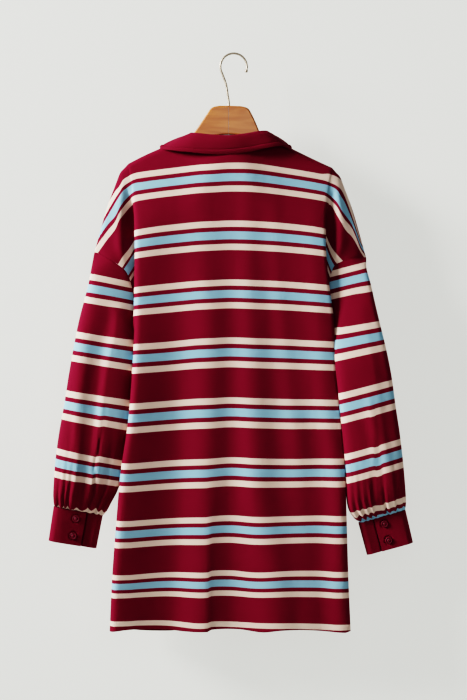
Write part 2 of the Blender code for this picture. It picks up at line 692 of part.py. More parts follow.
def smooth_ring(points, steps):
    """A finer, smooth version of a row of points."""
    places = list(range(len(points)))
    fine = []
    for i in range((len(points) - 1) * steps + 1):
        fine.append(tuple(through(places, [point[axis] for point in points], i / steps)
                          for axis in range(3)))
    return fine


def neck_station(row, side):
    """Where the stand's foot is, just above the neck edge, for a collar station."""
    x, y, z = body_at(row.on_front, side, row.neck_out, row.neck_out, 0.0)
    return leaned((x - side * STAND_IN, 0.97 * y, z + STAND_LIFT))


def leaf_station(row, side):
    """Place on the leaf's lower edge for a collar station."""
    drawn = 0.0
    if side < 0:
        drawn = LEAF_RIGHT_IN * eased((row.leaf_out - 70.0) / 50.0)
    return leaned((side * (row.leaf_out - drawn), row.leaf_y, row.leaf_z + NECK_RISE * drawn))


def build_collar(collection):
    """Stand from the neck edge to the fold, and leaf from the fold to its free edge."""
    fold = collar_ring(lambda row, side: leaned((side * row.fold_out, row.fold_y, row.fold_z)))
    foot = collar_ring(neck_station)
    edge = collar_ring(leaf_station)
    fold, foot, edge = (smooth_ring(ring, COLLAR_FINE) for ring in (fold, foot, edge))
    top = [step_from(a, b, STAND_DROP) for a, b in zip(fold, foot)]
    middle = [tuple((p + q) / 2 for p, q in zip(a, b)) for a, b in zip(top, foot)]
    shell("collar_stand", [top, middle, foot], BAND, collection, "crimson")
    leaf = []
    for share in LEAF_ROWS:
        lift = LEAF_BULGE * math.sin(math.pi * share ** 0.7) + LEAF_LIFT
        row = []
        for a, b in zip(fold, edge):
            outward = (b[0] - CENTRE, b[1])
            reach = math.hypot(*outward)
            row.append((a[0] + (b[0] - a[0]) * share + outward[0] / reach * lift * 0.5,
                        a[1] + (b[1] - a[1]) * share + outward[1] / reach * lift,
                        a[2] + (b[2] - a[2]) * share + lift))
        leaf.append(row)
    shell("collar_leaf", leaf, BAND, collection, "crimson")


# --- placket -------------------------------------------------------------------------
def front_surface(x, depth):
    """Point on the middle of the front panel at a depth below the hook."""
    top_z = column(NECKLINE, "out", "front_z", abs(x))
    share = (depth + top_z) / (HEM_DEPTH + top_z)
    return leaned(body_at(True, 1 if x >= 0 else -1, abs(x), abs(x), share))


def build_strip(name, half, foot, lift, wall, collection):
    """Strip of the placket that lies along the front's middle, moved by lift in y."""
    rows = []
    for i in range(PLACKET_STEPS + 1):
        depth = PLACKET_TOP + (foot - PLACKET_TOP) * i / PLACKET_STEPS
        points = [front_surface(x, depth) for x in (-half, 0.0, half)]
        rows.append([(x, y + lift, z) for x, y, z in points])
    shell(name, rows, wall, collection, "burgundy")


def build_placket(collection):
    """Under strip in the front's slot, and upper strip over it and the slot's edges."""
    build_strip("placket_under", UNDER_HALF, UNDER_FOOT, UNDER_LIFT, CLOTH, collection)
    build_strip("placket_upper", PLACKET_HALF, PLACKET_FOOT, PLACKET_LIFT, BAND, collection)


# --- buttons -------------------------------------------------------------------------
def build_button(name, place, facing, collection):
    """Turned button with a raised rim and a dome; its axis is +Y or -Y (facing)."""
    mesh = bmesh.new()
    verts = [mesh.verts.new((point.radius_share * BUTTON_RADIUS * MM, 0.0,
                             point.height_share * BUTTON_HEIGHT * MM)) for point in BUTTON]
    for a, b in zip(verts, verts[1:]):
        mesh.edges.new((a, b))
    data = bpy.data.meshes.new(name)
    mesh.to_mesh(data)
    mesh.free()
    obj = bpy.data.objects.new(name, data)
    keep(obj, collection, "burgundy")
    screw = obj.modifiers.new("turn", "SCREW")
    screw.steps = BUTTON_SIDES
    screw.render_steps = BUTTON_SIDES
    screw.use_merge_vertices = True
    screw.merge_threshold = 0.00001
    screw.use_smooth_shade = True
    obj.location = [value * MM for value in place]
    obj.rotation_euler = (-facing * math.pi / 2, 0.0, 0.0)
    return obj


def build_buttons(collection):
    """Two buttons on each cuff's lap and three down the placket."""
    for name, side, corners in (("left", 1, CUFF_LEFT), ("right", -1, CUFF_RIGHT)):
        share = CUFF_LAP - CUFF_BUTTON_INSET / cuff_round(corners)
        for number, height in enumerate(CUFF_BUTTONS, 1):
            place = cuff_point(corners, side, share, height, 0.5 * BAND + SEAM_GAP)
            build_button(f"cuff_button_{name}_{number}", place, 1, collection)
    for number, depth in enumerate(FRONT_BUTTONS, 1):
        x, y, z = front_surface(0.0, depth)
        foot_y = y + PLACKET_LIFT - 0.5 * BAND - SEAM_GAP - BUTTON_STAND
        build_button(f"front_button_{number}", (x, foot_y, z), -1, collection)


# --- hanger --------------------------------------------------------------------------
def build_hanger(collection):
    """Two flat wooden arms that meet at the stem, with rounded edges."""
    for name, side in (("left", 1), ("right", -1)):
        tops = [(row.out, row.top_z) for row in HANGER]
        feet = [(row.out, row.foot_z) for row in reversed(HANGER)]
        joint = HANGER_JOINT - CENTRE
        outline = []
        for out, z in tops + feet:
            x = side * out
            if side * (x - joint) < 0.5 * SEAM_GAP:
                x = joint + side * 0.5 * SEAM_GAP
            outline.append((x + CENTRE, z + LEAN * x))
        curve = bpy.data.curves.new("hanger_arm_" + name, "CURVE")
        curve.dimensions = "2D"
        curve.fill_mode = "BOTH"
        curve.extrude = (0.5 * HANGER_THICK - HANGER_EDGE) * MM
        curve.bevel_depth = HANGER_EDGE * MM
        curve.bevel_resolution = 2
        curve.offset = -HANGER_EDGE * MM
        spline = curve.splines.new("POLY")
        spline.points.add(len(outline) - 1)
        for point, (x, z) in zip(spline.points, outline):
            point.co = (x * MM, z * MM, 0.0, 1.0)
        spline.use_cyclic_u = True
        obj = bpy.data.objects.new("hanger_arm_" + name, curve)
        obj.rotation_euler = (math.pi / 2, 0.0, 0.0)
        keep(obj, collection, "wood")


def hook_path():
    """Middle of the hook's wire: a stem with a shallow bend, and an open loop."""
    radius = HOOK_LOOP + HOOK_WIRE
    points = [(point.x, 0.0, point.z) for point in HOOK_STEM]
    start, finish = (math.radians(turn) for turn in HOOK_LOOP_TURNS)
    for i in range(HOOK_LOOP_STEPS + 1):
        turn = start + (finish - start) * i / HOOK_LOOP_STEPS
        points.append((HOOK_LOOP_X + radius * math.cos(turn), 0.0,
                       radius * math.sin(turn) - HOOK_LOOP))
    return smooth_ring(points, 2)


def build_hook(collection):
    """Bent wire hook with a small ball at its free end."""
    path = hook_path()
    tip = [step_from(path[-1], path[-2], -point.reach) for point in HOOK_BALL]
    widths = [1.0] * len(path) + [point.width for point in HOOK_BALL]
    curve = bpy.data.curves.new("hanger_hook", "CURVE")
    curve.dimensions = "3D"
    curve.bevel_depth = HOOK_WIRE * MM
    curve.bevel_resolution = 2
    curve.use_fill_caps = True
    spline = curve.splines.new("POLY")
    spline.points.add(len(widths) - 1)
    for point, place, width in zip(spline.points, path + tip, widths):
        point.co = [value * MM for value in place] + [1.0]
        point.radius = width
    keep(bpy.data.objects.new("hanger_hook", curve), collection, "metal")


def main():
    """Builds every piece."""
    for old in list(bpy.data.objects):
        bpy.data.objects.remove(old, do_unlink=True)
    collection = bpy.data.collections.new("polo_dress_on_hanger")
    bpy.context.scene.collection.children.link(collection)
    back, front = build_panels(collection)
    build_sleeve("sleeve_left", 1, SLEEVE_LEFT, CUFF_LEFT, back, front, collection)
    build_sleeve("sleeve_right", -1, SLEEVE_RIGHT, CUFF_RIGHT, back, front, collection)
    build_cuff("cuff_left", 1, CUFF_LEFT, collection)
    build_cuff("cuff_right", -1, CUFF_RIGHT, collection)
    build_collar(collection)
    build_placket(collection)
    build_buttons(collection)
    build_hanger(collection)
    build_hook(collection)


main()
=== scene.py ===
"""Looks of a long-sleeved striped polo dress that hangs on a wooden hanger, seen from its back.

Tables and sizes are millimetres, meshes are metres. +Z is up, the wearer's left is +X and the
back of the dress faces +Y. "Out" is a distance sideways from the middle of the dress, "depth"
a distance below the hook's crown. The stripes lie on the cloth's own UV map, "knit": across
the wales and along the courses, in metres, so that they follow the drape.
"""

import logging
import math
from collections.abc import Callable, Sequence
from dataclasses import dataclass, field
from enum import Enum

import bmesh
import bpy
import numpy as np
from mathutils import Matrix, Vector


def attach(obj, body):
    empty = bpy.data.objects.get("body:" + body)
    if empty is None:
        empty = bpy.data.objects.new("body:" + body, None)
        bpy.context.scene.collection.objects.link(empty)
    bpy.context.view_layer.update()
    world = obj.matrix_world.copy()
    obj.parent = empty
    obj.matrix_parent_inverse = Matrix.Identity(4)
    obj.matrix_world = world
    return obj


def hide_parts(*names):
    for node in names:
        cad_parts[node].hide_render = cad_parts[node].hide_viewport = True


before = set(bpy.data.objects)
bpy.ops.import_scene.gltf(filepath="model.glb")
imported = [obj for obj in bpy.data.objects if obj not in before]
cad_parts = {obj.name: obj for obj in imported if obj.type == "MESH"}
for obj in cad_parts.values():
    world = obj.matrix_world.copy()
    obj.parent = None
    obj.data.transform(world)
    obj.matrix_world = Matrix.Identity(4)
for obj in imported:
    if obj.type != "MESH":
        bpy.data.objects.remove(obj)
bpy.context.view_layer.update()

LOG = logging.getLogger("polo_dress")
MM = 0.001
BODY = "root"
SHARP_ANGLE = math.radians(50.0)
EDGE_STEPS = 2
CURVE_STEPS = 6
UP = np.array((0.0, 0.0, 1.0))
Reals = float | np.ndarray
Colour = tuple[float, float, float]
Obj = bpy.types.Object
Node = bpy.types.Node
NodeTree = bpy.types.NodeTree
Socket = bpy.types.NodeSocket
Material = bpy.types.Material
Array = np.ndarray
Pair = tuple[float, float]


class Side(Enum):
    """Sides of the dress, as the wearer names them."""

    LEFT = 1
    RIGHT = -1


class Face(Enum):
    """The two panels of the dress's body."""

    BACK = 1
    FRONT = -1


class Slot(Enum):
    """Finishes that the record names."""

    JERSEY = "striped_jersey"
    BAND = "burgundy_band"
    COLLAR = "crimson_collar"
    BUTTON = "button"
    WOOD = "wood"
    WIRE = "wire"


# --- small maths ---------------------------------------------------------------------
def eased(value: Reals) -> Array:
    """Smooth 0-to-1 step of a value that is first held between 0 and 1."""
    held = np.clip(value, 0.0, 1.0)
    return held * held * (3.0 - 2.0 * held)


def arched(value: Reals) -> Array:
    """Quarter circle from 0 to 1 as a value goes from 0 to 1."""
    return np.sqrt(np.maximum(0.0, 1.0 - (1.0 - np.clip(value, 0.0, 1.0)) ** 2))


def through(places: Sequence[float], values: Array, place: Reals) -> Array:
    """Smooth curve through values that stand at rising places.

    Args:
        places: where the values stand.
        values: one value, or one array of values, for each place.
        place: where the curve is wanted.

    Returns:
        The curve at each wanted place, with the values' own further axes after it.
    """
    knots = np.asarray(places, float)
    marks = np.asarray(values, float)
    wanted = np.clip(np.asarray(place, float), knots[0], knots[-1])
    i = np.clip(np.searchsorted(knots, wanted, side="right") - 1, 0, len(knots) - 2)
    spread = (slice(None),) + (None,) * (marks.ndim - 1)
    slopes = np.empty_like(marks)
    slopes[1:-1] = (marks[2:] - marks[:-2]) / (knots[2:] - knots[:-2])[spread]
    slopes[0] = (marks[1] - marks[0]) / (knots[1] - knots[0])
    slopes[-1] = (marks[-1] - marks[-2]) / (knots[-1] - knots[-2])
    more = (...,) + (None,) * (marks.ndim - 1)
    span = (knots[i + 1] - knots[i])[more]
    t = ((wanted - knots[i]) / (knots[i + 1] - knots[i]))[more]
    return (marks[i] * (1 + 2 * t) * (1 - t) ** 2 + marks[i + 1] * t * t * (3 - 2 * t)
            + span * (slopes[i] * t * (1 - t) ** 2 - slopes[i + 1] * t * t * (1 - t)))


def unit(vectors: Array) -> Array:
    """The vectors at length 1, along the last axis."""
    return vectors / np.maximum(np.linalg.norm(vectors, axis=-1, keepdims=True), 1e-12)


def bell(away: Reals, before: Reals, after: Reals) -> Array:
    """Ridge of height 1 with a reach of its own on either side of its top."""
    return np.exp(-(away / np.where(away < 0.0, before, after)) ** 2)


def walked(points: Array, axis: int = 0) -> Array:
    """Distance walked over a grid of points along one of its axes.

    Args:
        points: the points, with x, y and z as the last axis.
        axis: the axis that is walked along.

    Returns:
        The distance at every point, from 0.
    """
    steps = np.linalg.norm(np.diff(points, axis=axis), axis=-1)
    start = np.zeros_like(np.take(steps, [0], axis=axis))
    return np.concatenate([start, np.cumsum(steps, axis=axis)], axis=axis)


def read_lines(heights: Array, courses: Sequence[float], z: Array) -> Array:
    """Course of the knit at a height, between lines of known course.

    Args:
        heights: height of each line over every point, highest line first.
        courses: course of each line.
        z: height of every point.

    Returns:
        The course at every point, carried on evenly beyond the first and last line.
    """
    found = np.zeros_like(z)
    last = len(courses) - 2
    for k in range(last + 1):
        share = (heights[k] - z) / (heights[k] - heights[k + 1])
        here = courses[k] + (courses[k + 1] - courses[k]) * share
        inside = (share >= 0.0) if k else np.ones_like(z, bool)
        found = np.where(inside, here, found)
    return found


class Table:
    """Short table of numbers with named columns."""

    def __init__(self, names: str, *rows: Sequence[float]) -> None:
        """Keeps each column under its name.

        Args:
            names: the columns' names, with spaces between.
            rows: one sequence of numbers for each row.
        """
        values = np.array(rows, float)
        self.columns = {name: values[:, i] for i, name in enumerate(names.split())}
        self.count = len(rows)

    def __getitem__(self, name: str) -> Array:
        """One whole column."""
        return self.columns[name]

    def rows(self) -> list[dict[str, float]]:
        """Every row, as its values by column name."""
        return [{name: values[k] for name, values in self.columns.items()} for k in range(self.count)]

    def at(self, wanted: str, place: Reals) -> Array:
        """One column where the first column, whose values rise, reaches a place.

        Args:
            wanted: the column whose value is returned.
            place: where in the first column.

        Returns:
            The wanted column's smooth value there.
        """
        key = next(iter(self.columns.values()))
        return through(key, self[wanted], place)

    def along(self, wanted: str, share: Reals) -> Array:
        """One column at a share of the way down the rows."""
        return through(range(self.count), self[wanted], np.asarray(share) * (self.count - 1))


# --- how the cloth hangs -------------------------------------------------------------
# The neck's cut edges lie on the same surface as the panel below them.
NECKLINE = Table(
    "out back_z front_z",
    (0, -177, -246),
    (15.3, -176.4, -243),
    (36, -174, -231),
    (56, -168.5, -207),
    (72, -160.5, -177),
    (79.5, -157.2, -161.5),
    (82, -156, -156))

# The shoulder line, and how much lower it lies on the wearer's right.
SHOULDER = Table(
    "out z right_drop",
    (82, -156, 0),
    (110, -168.5, 2.2),
    (133, -178.9, 2.8),
    (158, -190.5, 2.8),
    (188, -206.5, 0))

# Half width of the body's outline, half depth of its middle, and how far the side seam is
# drawn in between the front and back side folds.
TORSO = Table(
    "depth half_width half_depth drawn_in",
    (505, 187, 32, 13),
    (600, 192.5, 32, 8),
    (680, 199, 32.5, 6),
    (760, 206, 33, 4),
    (850, 211.7, 34, 0.6),
    (955, 217.2, 35, 0),
    (1067, 222, 36, 0))

# Strip between the body's side fold and the armhole, a row for each level: the fold's edge,
# the bottom of the pleat behind it, where the dropped shoulder comes out of the pleat, its
# middle, and the armhole seam. The first row is the shoulder line itself. The last number is
# how much higher the seam lies on the wearer's right.
STRIPS = Table(
    "edge_out edge_y edge_z pleat_out pleat_y pleat_z fall_out fall_y fall_z "
    "drop_out drop_y drop_z seam_out seam_y seam_z right_lift",
    (188, 0.15, -206.5, 203, 0.15, -223.5, 211, 0.15, -244,
     228, 0.15, -291, 250.5, 0.15, -371, 0),
    (185, 15, -250, 191, 13, -257, 200, 14.5, -272,
     222, 16, -314, 243, 11, -372.5, 0),
    (181, 20, -294, 174, 9.5, -302, 188, 11, -314,
     208, 18, -343, 223, 18.5, -382.5, 7),
    (180, 22, -337, 164, 9.5, -345, 178, 9, -354,
     193, 16, -371, 204.5, 18.5, -394, 13),
    (180.2, 23, -379, 161.5, 9.5, -386, 170, 7, -392,
     180, 11, -401, 189.5, 15.5, -409, 16),
    (182, 23.5, -421, 163, 10, -426, 167.5, 6, -430,
     174, 7.5, -435, 181, 11, -440, 9),
    (184.5, 23, -463, 169.5, 13, -467, 171, 9.2, -469,
     174.8, 7.4, -471.5, 179.5, 8, -474, 3),
    (187, 20, -505, 181.5, 12.5, -507, 178.3, 8.6, -508.5,
     176.2, 4.6, -510, 177, 0.4, -512, 0))

# How far in each side fold is drawn beyond the common outline.
FOLD_IN = Table(
    "depth left right",
    (205, 0, 0),
    (250, 4, 4.5),
    (330, 5, 5.2),
    (400, 5.6, 2.6),
    (460, 6.4, 0.6),
    (600, 6.4, 1.6),
    (680, 6.2, 0.8),
    (770, 0.8, 0.2),
    (860, 0, 0),
    (1067, 0, 0))

# Creases of the body. Each is followed down the panel: its place across (+ is the wearer's
# left), its reach to its left and right, and its height.
CREASE = "depth x left right rise"
BACK_CREASES = (
    Table(CREASE, (215, 150, 50, 45, 1), (300, 158, 40, 50, 4),
          (391, 170, 30, 50, 7), (505, 180, 30, 56, 10),
          (611, 187, 30, 66, 12), (821, 206, 30, 76, 12.5),
          (1067, 216, 30, 82, 13)),
    Table(CREASE, (215, 50, 28, 28, 0.8), (300, 49, 29, 29, 2.2),
          (391, 49, 30, 30, 3.8), (492, 45, 36, 36, 7.6),
          (718, 48, 36, 36, 9.2), (921, 50, 37, 38, 10.6),
          (1067, 56, 36, 44, 11.6)),
    Table(CREASE, (215, -31, 18, 20, 1.2), (300, -32, 19, 21, 1.6),
          (391, -32.6, 20, 21, 2.6), (492, -32.2, 25, 28, 5.2),
          (611, -35, 28, 31, 7.2), (718, -39, 28, 36, 9.2),
          (821, -46, 31, 40, 11), (921, -70, 46, 46, 12),
          (1067, -86, 52, 46, 12.6)),
    Table(CREASE, (215, -84, 14, 14, 0.6), (391, -85, 14, 14, 0.9),
          (492, -91, 15, 16, 1.8), (611, -102, 18, 18, 1.9),
          (718, -117, 22, 21, 3.8), (821, -124, 28, 26, 2.4),
          (1067, -150, 20, 18, 2)),
    Table(CREASE, (215, -155, 20, 20, 1), (391, -157, 20, 22, 2),
          (611, -168, 20, 22, 3.6), (821, -196, 22, 20, 6),
          (1067, -203, 22, 20, 5)),
    # The overlapping fold that runs up from the hem.
    Table(CREASE, (800, 37, 14, 3, 0), (870, 37, 16, 2.6, 1),
          (960, 37, 18, 2.2, 1.9), (1067, 37.5, 20, 2, 2.6)))
FRONT_CREASES = (
    Table(CREASE, (215, 150, 19, 19, 1), (500, 158, 19, 19, 3),
          (1067, 170, 24, 24, 5)),
    Table(CREASE, (215, 95, 18, 18, -1), (600, 99, 20, 20, -4),
          (1067, 104, 24, 24, -6)),
    Table(CREASE, (215, 48, 18, 18, 0.5), (600, 54, 18, 20, 4),
          (1067, 60, 22, 26, 7)),
    Table(CREASE, (215, -42, 17, 17, 0.5), (600, -48, 20, 17, 3.5),
          (1067, -52, 24, 20, 6)),
    Table(CREASE, (215, -80, 18, 18, -1), (1067, -96, 20, 20, -6.5)),
    Table(CREASE, (215, -125, 17, 17, 1), (1067, -140, 20, 20, 6)))

# The hem's edge over its common depth, at places across.
HEM_LIFT = Table(
    "x back front",
    (-219, 6, 4),
    (-210, 3.6, 4),
    (-139, 8.6, 6),
    (-93, 8.6, 5),
    (-58, 5.2, 2),
    (-16, 10, 4),
    (34, 10.2, 4),
    (40.5, 6.6, 3),
    (84, 6.8, -1),
    (121, 10.2, -4),
    (163, 10.9, -4.5),
    (190, 9.6, -2),
    (218, 5.8, 4))

# How far each stripe group hangs below its height at the middle, at places across the body.
GROUP_DEPTHS = (203.0, 309.0, 416.9, 522.9, 632.6, 742.3, 848.4, 949.0, 1042.2)
DROOP_PLACES = (-190.0, -155.0, -100.0, -45.0, 0.0, 34.0, 41.0, 64.0, 119.0, 168.0, 182.0)
DROOP = Table(
    "right_190 right_155 right_100 right_45 middle left_34 left_41 left_64 left_119 left_168 left_182",
    (24, 17, 8.2, 1.1, 0, 2.2, 2.6, 4, 10.1, 16.3, 20),
    (18, 11.2, 4.9, 1.1, 0, 1.3, 1.7, 3.1, 9, 16.5, 20),
    (11.4, 7.9, 3.8, 1.3, 0, 1.5, 1.9, 3.1, 8.2, 13.9, 15.8),
    (7.8, 6.2, 3.3, 1.6, 0, 1.6, 1.9, 3.1, 8.6, 12.1, 13),
    (4.8, 4, 3.3, 1.5, 0, 1.6, 1.8, 2.7, 6.8, 10.4, 11.2),
    (2.6, 2.7, 3.3, 1.6, 0, 2.2, 2.6, 3.5, 6.2, 9.5, 10.3),
    (1.3, 0.7, 1.8, 2.2, 0, 1.1, 2.8, 3.5, 5.7, 8, 8.8),
    (2.8, 0.9, 0.7, 3.3, 0, 0.1, 2.7, 3.3, 3.3, 5.7, 6.4),
    (6, 4.2, 2.2, 2, 0, -0.9, 1.4, 2, -2.2, -3.7, -3.2))

# Courses on the dropped shoulders: the height of a course line at places out from the middle.
LOBE_PLACES = (165.0, 177.0, 187.0, 197.0, 204.0, 211.0, 225.0, 240.0)
LOBE_NAMES = "course at_165 at_177 at_187 at_197 at_204 at_211 at_225 at_240"
LOBES = {
    Side.LEFT: Table(
        LOBE_NAMES,
        (203.8, -218.5, -222.2, -227, -234, -246, -254, -276, -300),
        (215.1, -230.2, -233.8, -238.8, -246.4, -257, -267, -290.5, -316),
        (223.2, -236.6, -240.3, -246.5, -254.2, -264.6, -276.5, -299.5, -326),
        (237.7, -253.3, -257, -264.5, -275.8, -287.8, -301, -315.2, -336),
        (245.9, -259.8, -264.8, -272.3, -284.8, -295.7, -311, -327.5, -347),
        (257.2, -272.8, -277.6, -286.5, -299.5, -308.6, -325, -342.5, -363),
        (310.4, -329, -345.5, -361.3, -374.5, -386, -398, -418, -440),
        (321.7, -343, -361.5, -378.2, -393, -404, -415, -435, -457),
        (329.8, -350, -367.5, -383.5, -400, -411, -422, -442, -464),
        (344.3, -374, -392.5, -409, -425, -436, -447, -467, -489),
        (352.5, -381, -399.5, -415.5, -431, -442, -453, -473, -495)),
    Side.RIGHT: Table(
        LOBE_NAMES,
        (203.8, -218.5, -221, -224, -228.2, -233.5, -244, -292, -345),
        (215.1, -234, -236.8, -240.6, -245.7, -252, -265, -303, -348),
        (223.2, -239.7, -242.5, -246.2, -253, -265, -276, -309, -352),
        (237.7, -254.4, -259.5, -266.3, -276, -290, -299, -318, -356),
        (245.9, -259.6, -265.5, -272.8, -284, -296.5, -308, -324.5, -361),
        (257.2, -272.3, -276.5, -282, -300, -313, -326, -340.5, -366),
        (310.4, -314, -337, -358, -372, -379.5, -387, -401, -417),
        (321.7, -325, -347, -373.5, -389.5, -399, -407, -421, -437),
        (329.8, -334, -357, -382, -399, -408, -416, -430, -446),
        (344.3, -353, -378, -403, -418, -427, -435, -449, -465),
        (352.5, -360, -385, -410, -425, -434, -442, -456, -472)),
}


@dataclass(frozen=True)
class Creases:
    """Soft troughs and ridges laid down a panel."""

    tables: tuple[Table, ...]

    def rise(self, x: Array, depth: Array) -> Array:
        """Height of all the creases at places on the panel.

        Args:
            x: places across the panel.
            depth: their depths.

        Returns:
            How far the panel stands out there.
        """
        total = np.zeros(np.broadcast(x, depth).shape)
        for table in self.tables:
            away = x - table.at("x", depth)
            right, left, rise = (table.at(name, depth) for name in ("right", "left", "rise"))
            total = total + rise * bell(away, right, left)
        return total


@dataclass(frozen=True)
class DressForm:
    """The hanging shape of the dress's front and back."""

    centre: float = 7.0
    lean: float = 0.02
    lean_fades: Pair = (300.0, 600.0)
    sway_most: float = -5.0
    sway_starts: Pair = (400.0, 520.0)
    sway_ends: Pair = (720.0, 1000.0)
    hem: float = 1067.0
    edge_top: float = 205.0
    underarm: float = 505.0
    neck_out: float = 82.0
    neck_rise: float = 0.43
    slot_half: float = 15.3
    slot_depth: float = 398.0
    ridge_round: float = 9.0
    drop_round: float = 6.5
    drop_fade: float = 50.0
    hang_near: float = 80.0
    hang_far: float = 170.0
    hang_width: float = 110.0
    edge_power: float = 70.0
    crease_power: float = 55.0
    seam_in: float = 5.0
    swing: float = 13.0
    swing_from: float = 95.0
    swing_over: float = 110.0
    swing_power: float = 1.4
    swing_starts: Pair = (400.0, 650.0)
    far_off: float = 3000.0
    eye_depth: float = 546.7
    fold_lift: float = 1.5
    side_tuck: float = 2.0
    side_depth: Pair = (20.0, 31.0)
    side_settle: float = 200.0
    seam_settle: float = 60.0
    seam_gap: float = 0.3
    seam_y: Pair = (0.4, 0.15)
    seam_drop: float = 7.0
    pleat_starts: Pair = (0.15, 0.45)
    pleat_turn: tuple[float, float, float] = (3.0, -1.5, 0.0)
    pleat_between: tuple[float, float, float] = (0.0, -1.0, 0.0)
    lift_share: float = 0.6
    crease_mean: float = 3.0
    hem_reach: float = 130.0
    strip_marks: tuple[float, ...] = (0.0, 0.13, 0.26, 0.42, 0.58, 0.8, 1.0)

    @property
    def under(self) -> float:
        """Share of the way from shoulder to hem at which the underarm is."""
        return (self.underarm - self.edge_top) / (self.hem - self.edge_top)

    def depth(self, down: Reals) -> Array:
        """Depth of the side fold at a share of the way from shoulder to hem."""
        return self.edge_top + (self.hem - self.edge_top) * np.asarray(down)

    def shoulder_round(self, share: Reals) -> Array:
        """Extra y that rounds the strip over the shoulder line."""
        reach = np.asarray(share) * (self.underarm - self.edge_top)
        return self.drop_round * arched(reach / self.drop_round) * (1 - eased(reach / self.drop_fade))

    def fold_in(self, side: Side, down: Array) -> Array:
        """How far one side's fold lies further in than the common outline."""
        return FOLD_IN.at(side.name.lower(), self.depth(down))

    def side_fold(self, down: Array) -> Array:
        """Side fold's out, y and z, as the first axis, before it is drawn in.

        Args:
            down: shares of the way from shoulder to hem.

        Returns:
            Out, y and z of the fold, with the places as further axes.
        """
        share = down / self.under
        upper = np.stack([STRIPS.along("edge_out", share),
                          STRIPS.along("edge_y", share) + self.shoulder_round(share),
                          STRIPS.along("edge_z", share)])
        depth = self.depth(down)
        drawn = TORSO.at("drawn_in", depth)
        out = TORSO.at("half_width", depth)
        out = out - self.side_tuck * (1.0 - drawn / TORSO["drawn_in"][0])
        near, far = self.side_depth
        y = near + (far - near) * eased((depth - self.underarm) / self.side_settle)
        return np.where(down <= self.under, upper, np.stack([out, y, -depth]))

    def body(self, face: Face, x: Array, top_out: Array, down: Array,
             creases: Creases, drawn: Reals = 0.0) -> Array:
        """Points of the body between the side folds.

        Args:
            face: front or back.
            x: signed distance of each point from the middle.
            top_out: where its column starts along the shoulder.
            down: share of the way from shoulder to hem.
            creases: the panel's creases.
            drawn: how far the side fold is drawn in, by row.

        Returns:
            The points, with x, y and z as the last axis.
        """
        edge_out, edge_y, edge_z = self.side_fold(down)
        edge_out = edge_out - drawn
        out = np.abs(x)
        inside_neck = top_out < self.neck_out
        neck_z = NECKLINE.at("back_z" if face is Face.BACK else "front_z", top_out)
        shoulder_z = SHOULDER.at("z", top_out)
        shoulder_z = shoulder_z - (x < 0.0) * SHOULDER.at("right_drop", top_out)
        top_z = np.where(inside_neck, neck_z, shoulder_z)
        over = SHOULDER["z"][0] + self.neck_rise * (self.neck_out - top_out)
        ridge_z = np.where(inside_neck, over, top_z)
        fold_top = self.edge_top + self.fold_lift
        z = top_z - (self.hem + top_z) * (edge_z + fold_top) / (fold_top - self.hem)
        drop = ridge_z - z
        full = TORSO.at("half_depth", np.maximum(-z, self.underarm))
        hang_out = self.hang_near + (self.hang_far - self.hang_near) * eased(top_out / self.hang_width)
        hang = np.sin(0.5 * math.pi * np.minimum(1.0, drop / hang_out))
        y = 0.5 * self.seam_gap + self.ridge_round * arched(drop / self.ridge_round)
        y = y + (full - self.ridge_round) * hang
        reach = np.minimum(1.0, out / edge_out)
        creased = (creases.rise(x, -z) - self.crease_mean * hang) * hang
        y = y + creased * (1.0 - reach ** self.crease_power)
        y = edge_y + (y - edge_y) * np.sqrt(1.0 - reach ** self.edge_power)
        return np.stack(np.broadcast_arrays(x, y * face.value, z), axis=-1)

    def strip(self, face: Face, side: Side, share: Array, down: Array) -> Array:
        """Points of the strip between a side fold (share 0) and its seam (share 1).

        Args:
            face: front or back.
            side: left or right.
            share: shares across the strip, one for each column.
            down: shares of the way from shoulder to hem, one for each row.

        Returns:
            Points by row and column.
        """
        drawn = self.fold_in(side, down)
        path = np.where((down <= self.under)[None, :, None], self._pleated(side, drawn, down),
                        self._plain(drawn, down))
        points = np.swapaxes(through(self.strip_marks, path, share), 0, 1)
        return points * (side.value, face.value, 1.0)

    def _pleated(self, side: Side, drawn: Array, down: Array) -> Array:
        """Control points of the strip beside the armhole, by mark and row.

        Args:
            side: left or right.
            drawn: how far the side fold is drawn in, by row.
            down: shares of the way from shoulder to hem.

        Returns:
            The points at each of strip_marks, by mark and row.
        """
        share = np.minimum(down / self.under, 1.0)
        lift = self.shoulder_round(share)
        edge, pleat, fall, drop, seam = (
            np.stack([STRIPS.along(name + "_out", share), STRIPS.along(name + "_y", share) + lift,
                      STRIPS.along(name + "_z", share)], axis=-1)
            for name in ("edge", "pleat", "fall", "drop", "seam"))
        edge = edge - drawn[:, None] * (1.0, 0.0, 0.0)
        if side is Side.RIGHT:
            raised = STRIPS.along("right_lift", share)[:, None] * (0.0, 0.0, 1.0)
            drop, seam = drop + self.lift_share * raised, seam + raised
        start, end = self.pleat_starts
        folded = eased((share - start) / (end - start))[:, None]
        turn = edge * 0.75 + pleat * 0.25 + folded * self.pleat_turn
        between = edge * 0.5 + pleat * 0.5 + folded * self.pleat_between
        return np.stack([edge, turn, between, pleat, fall, drop, seam])

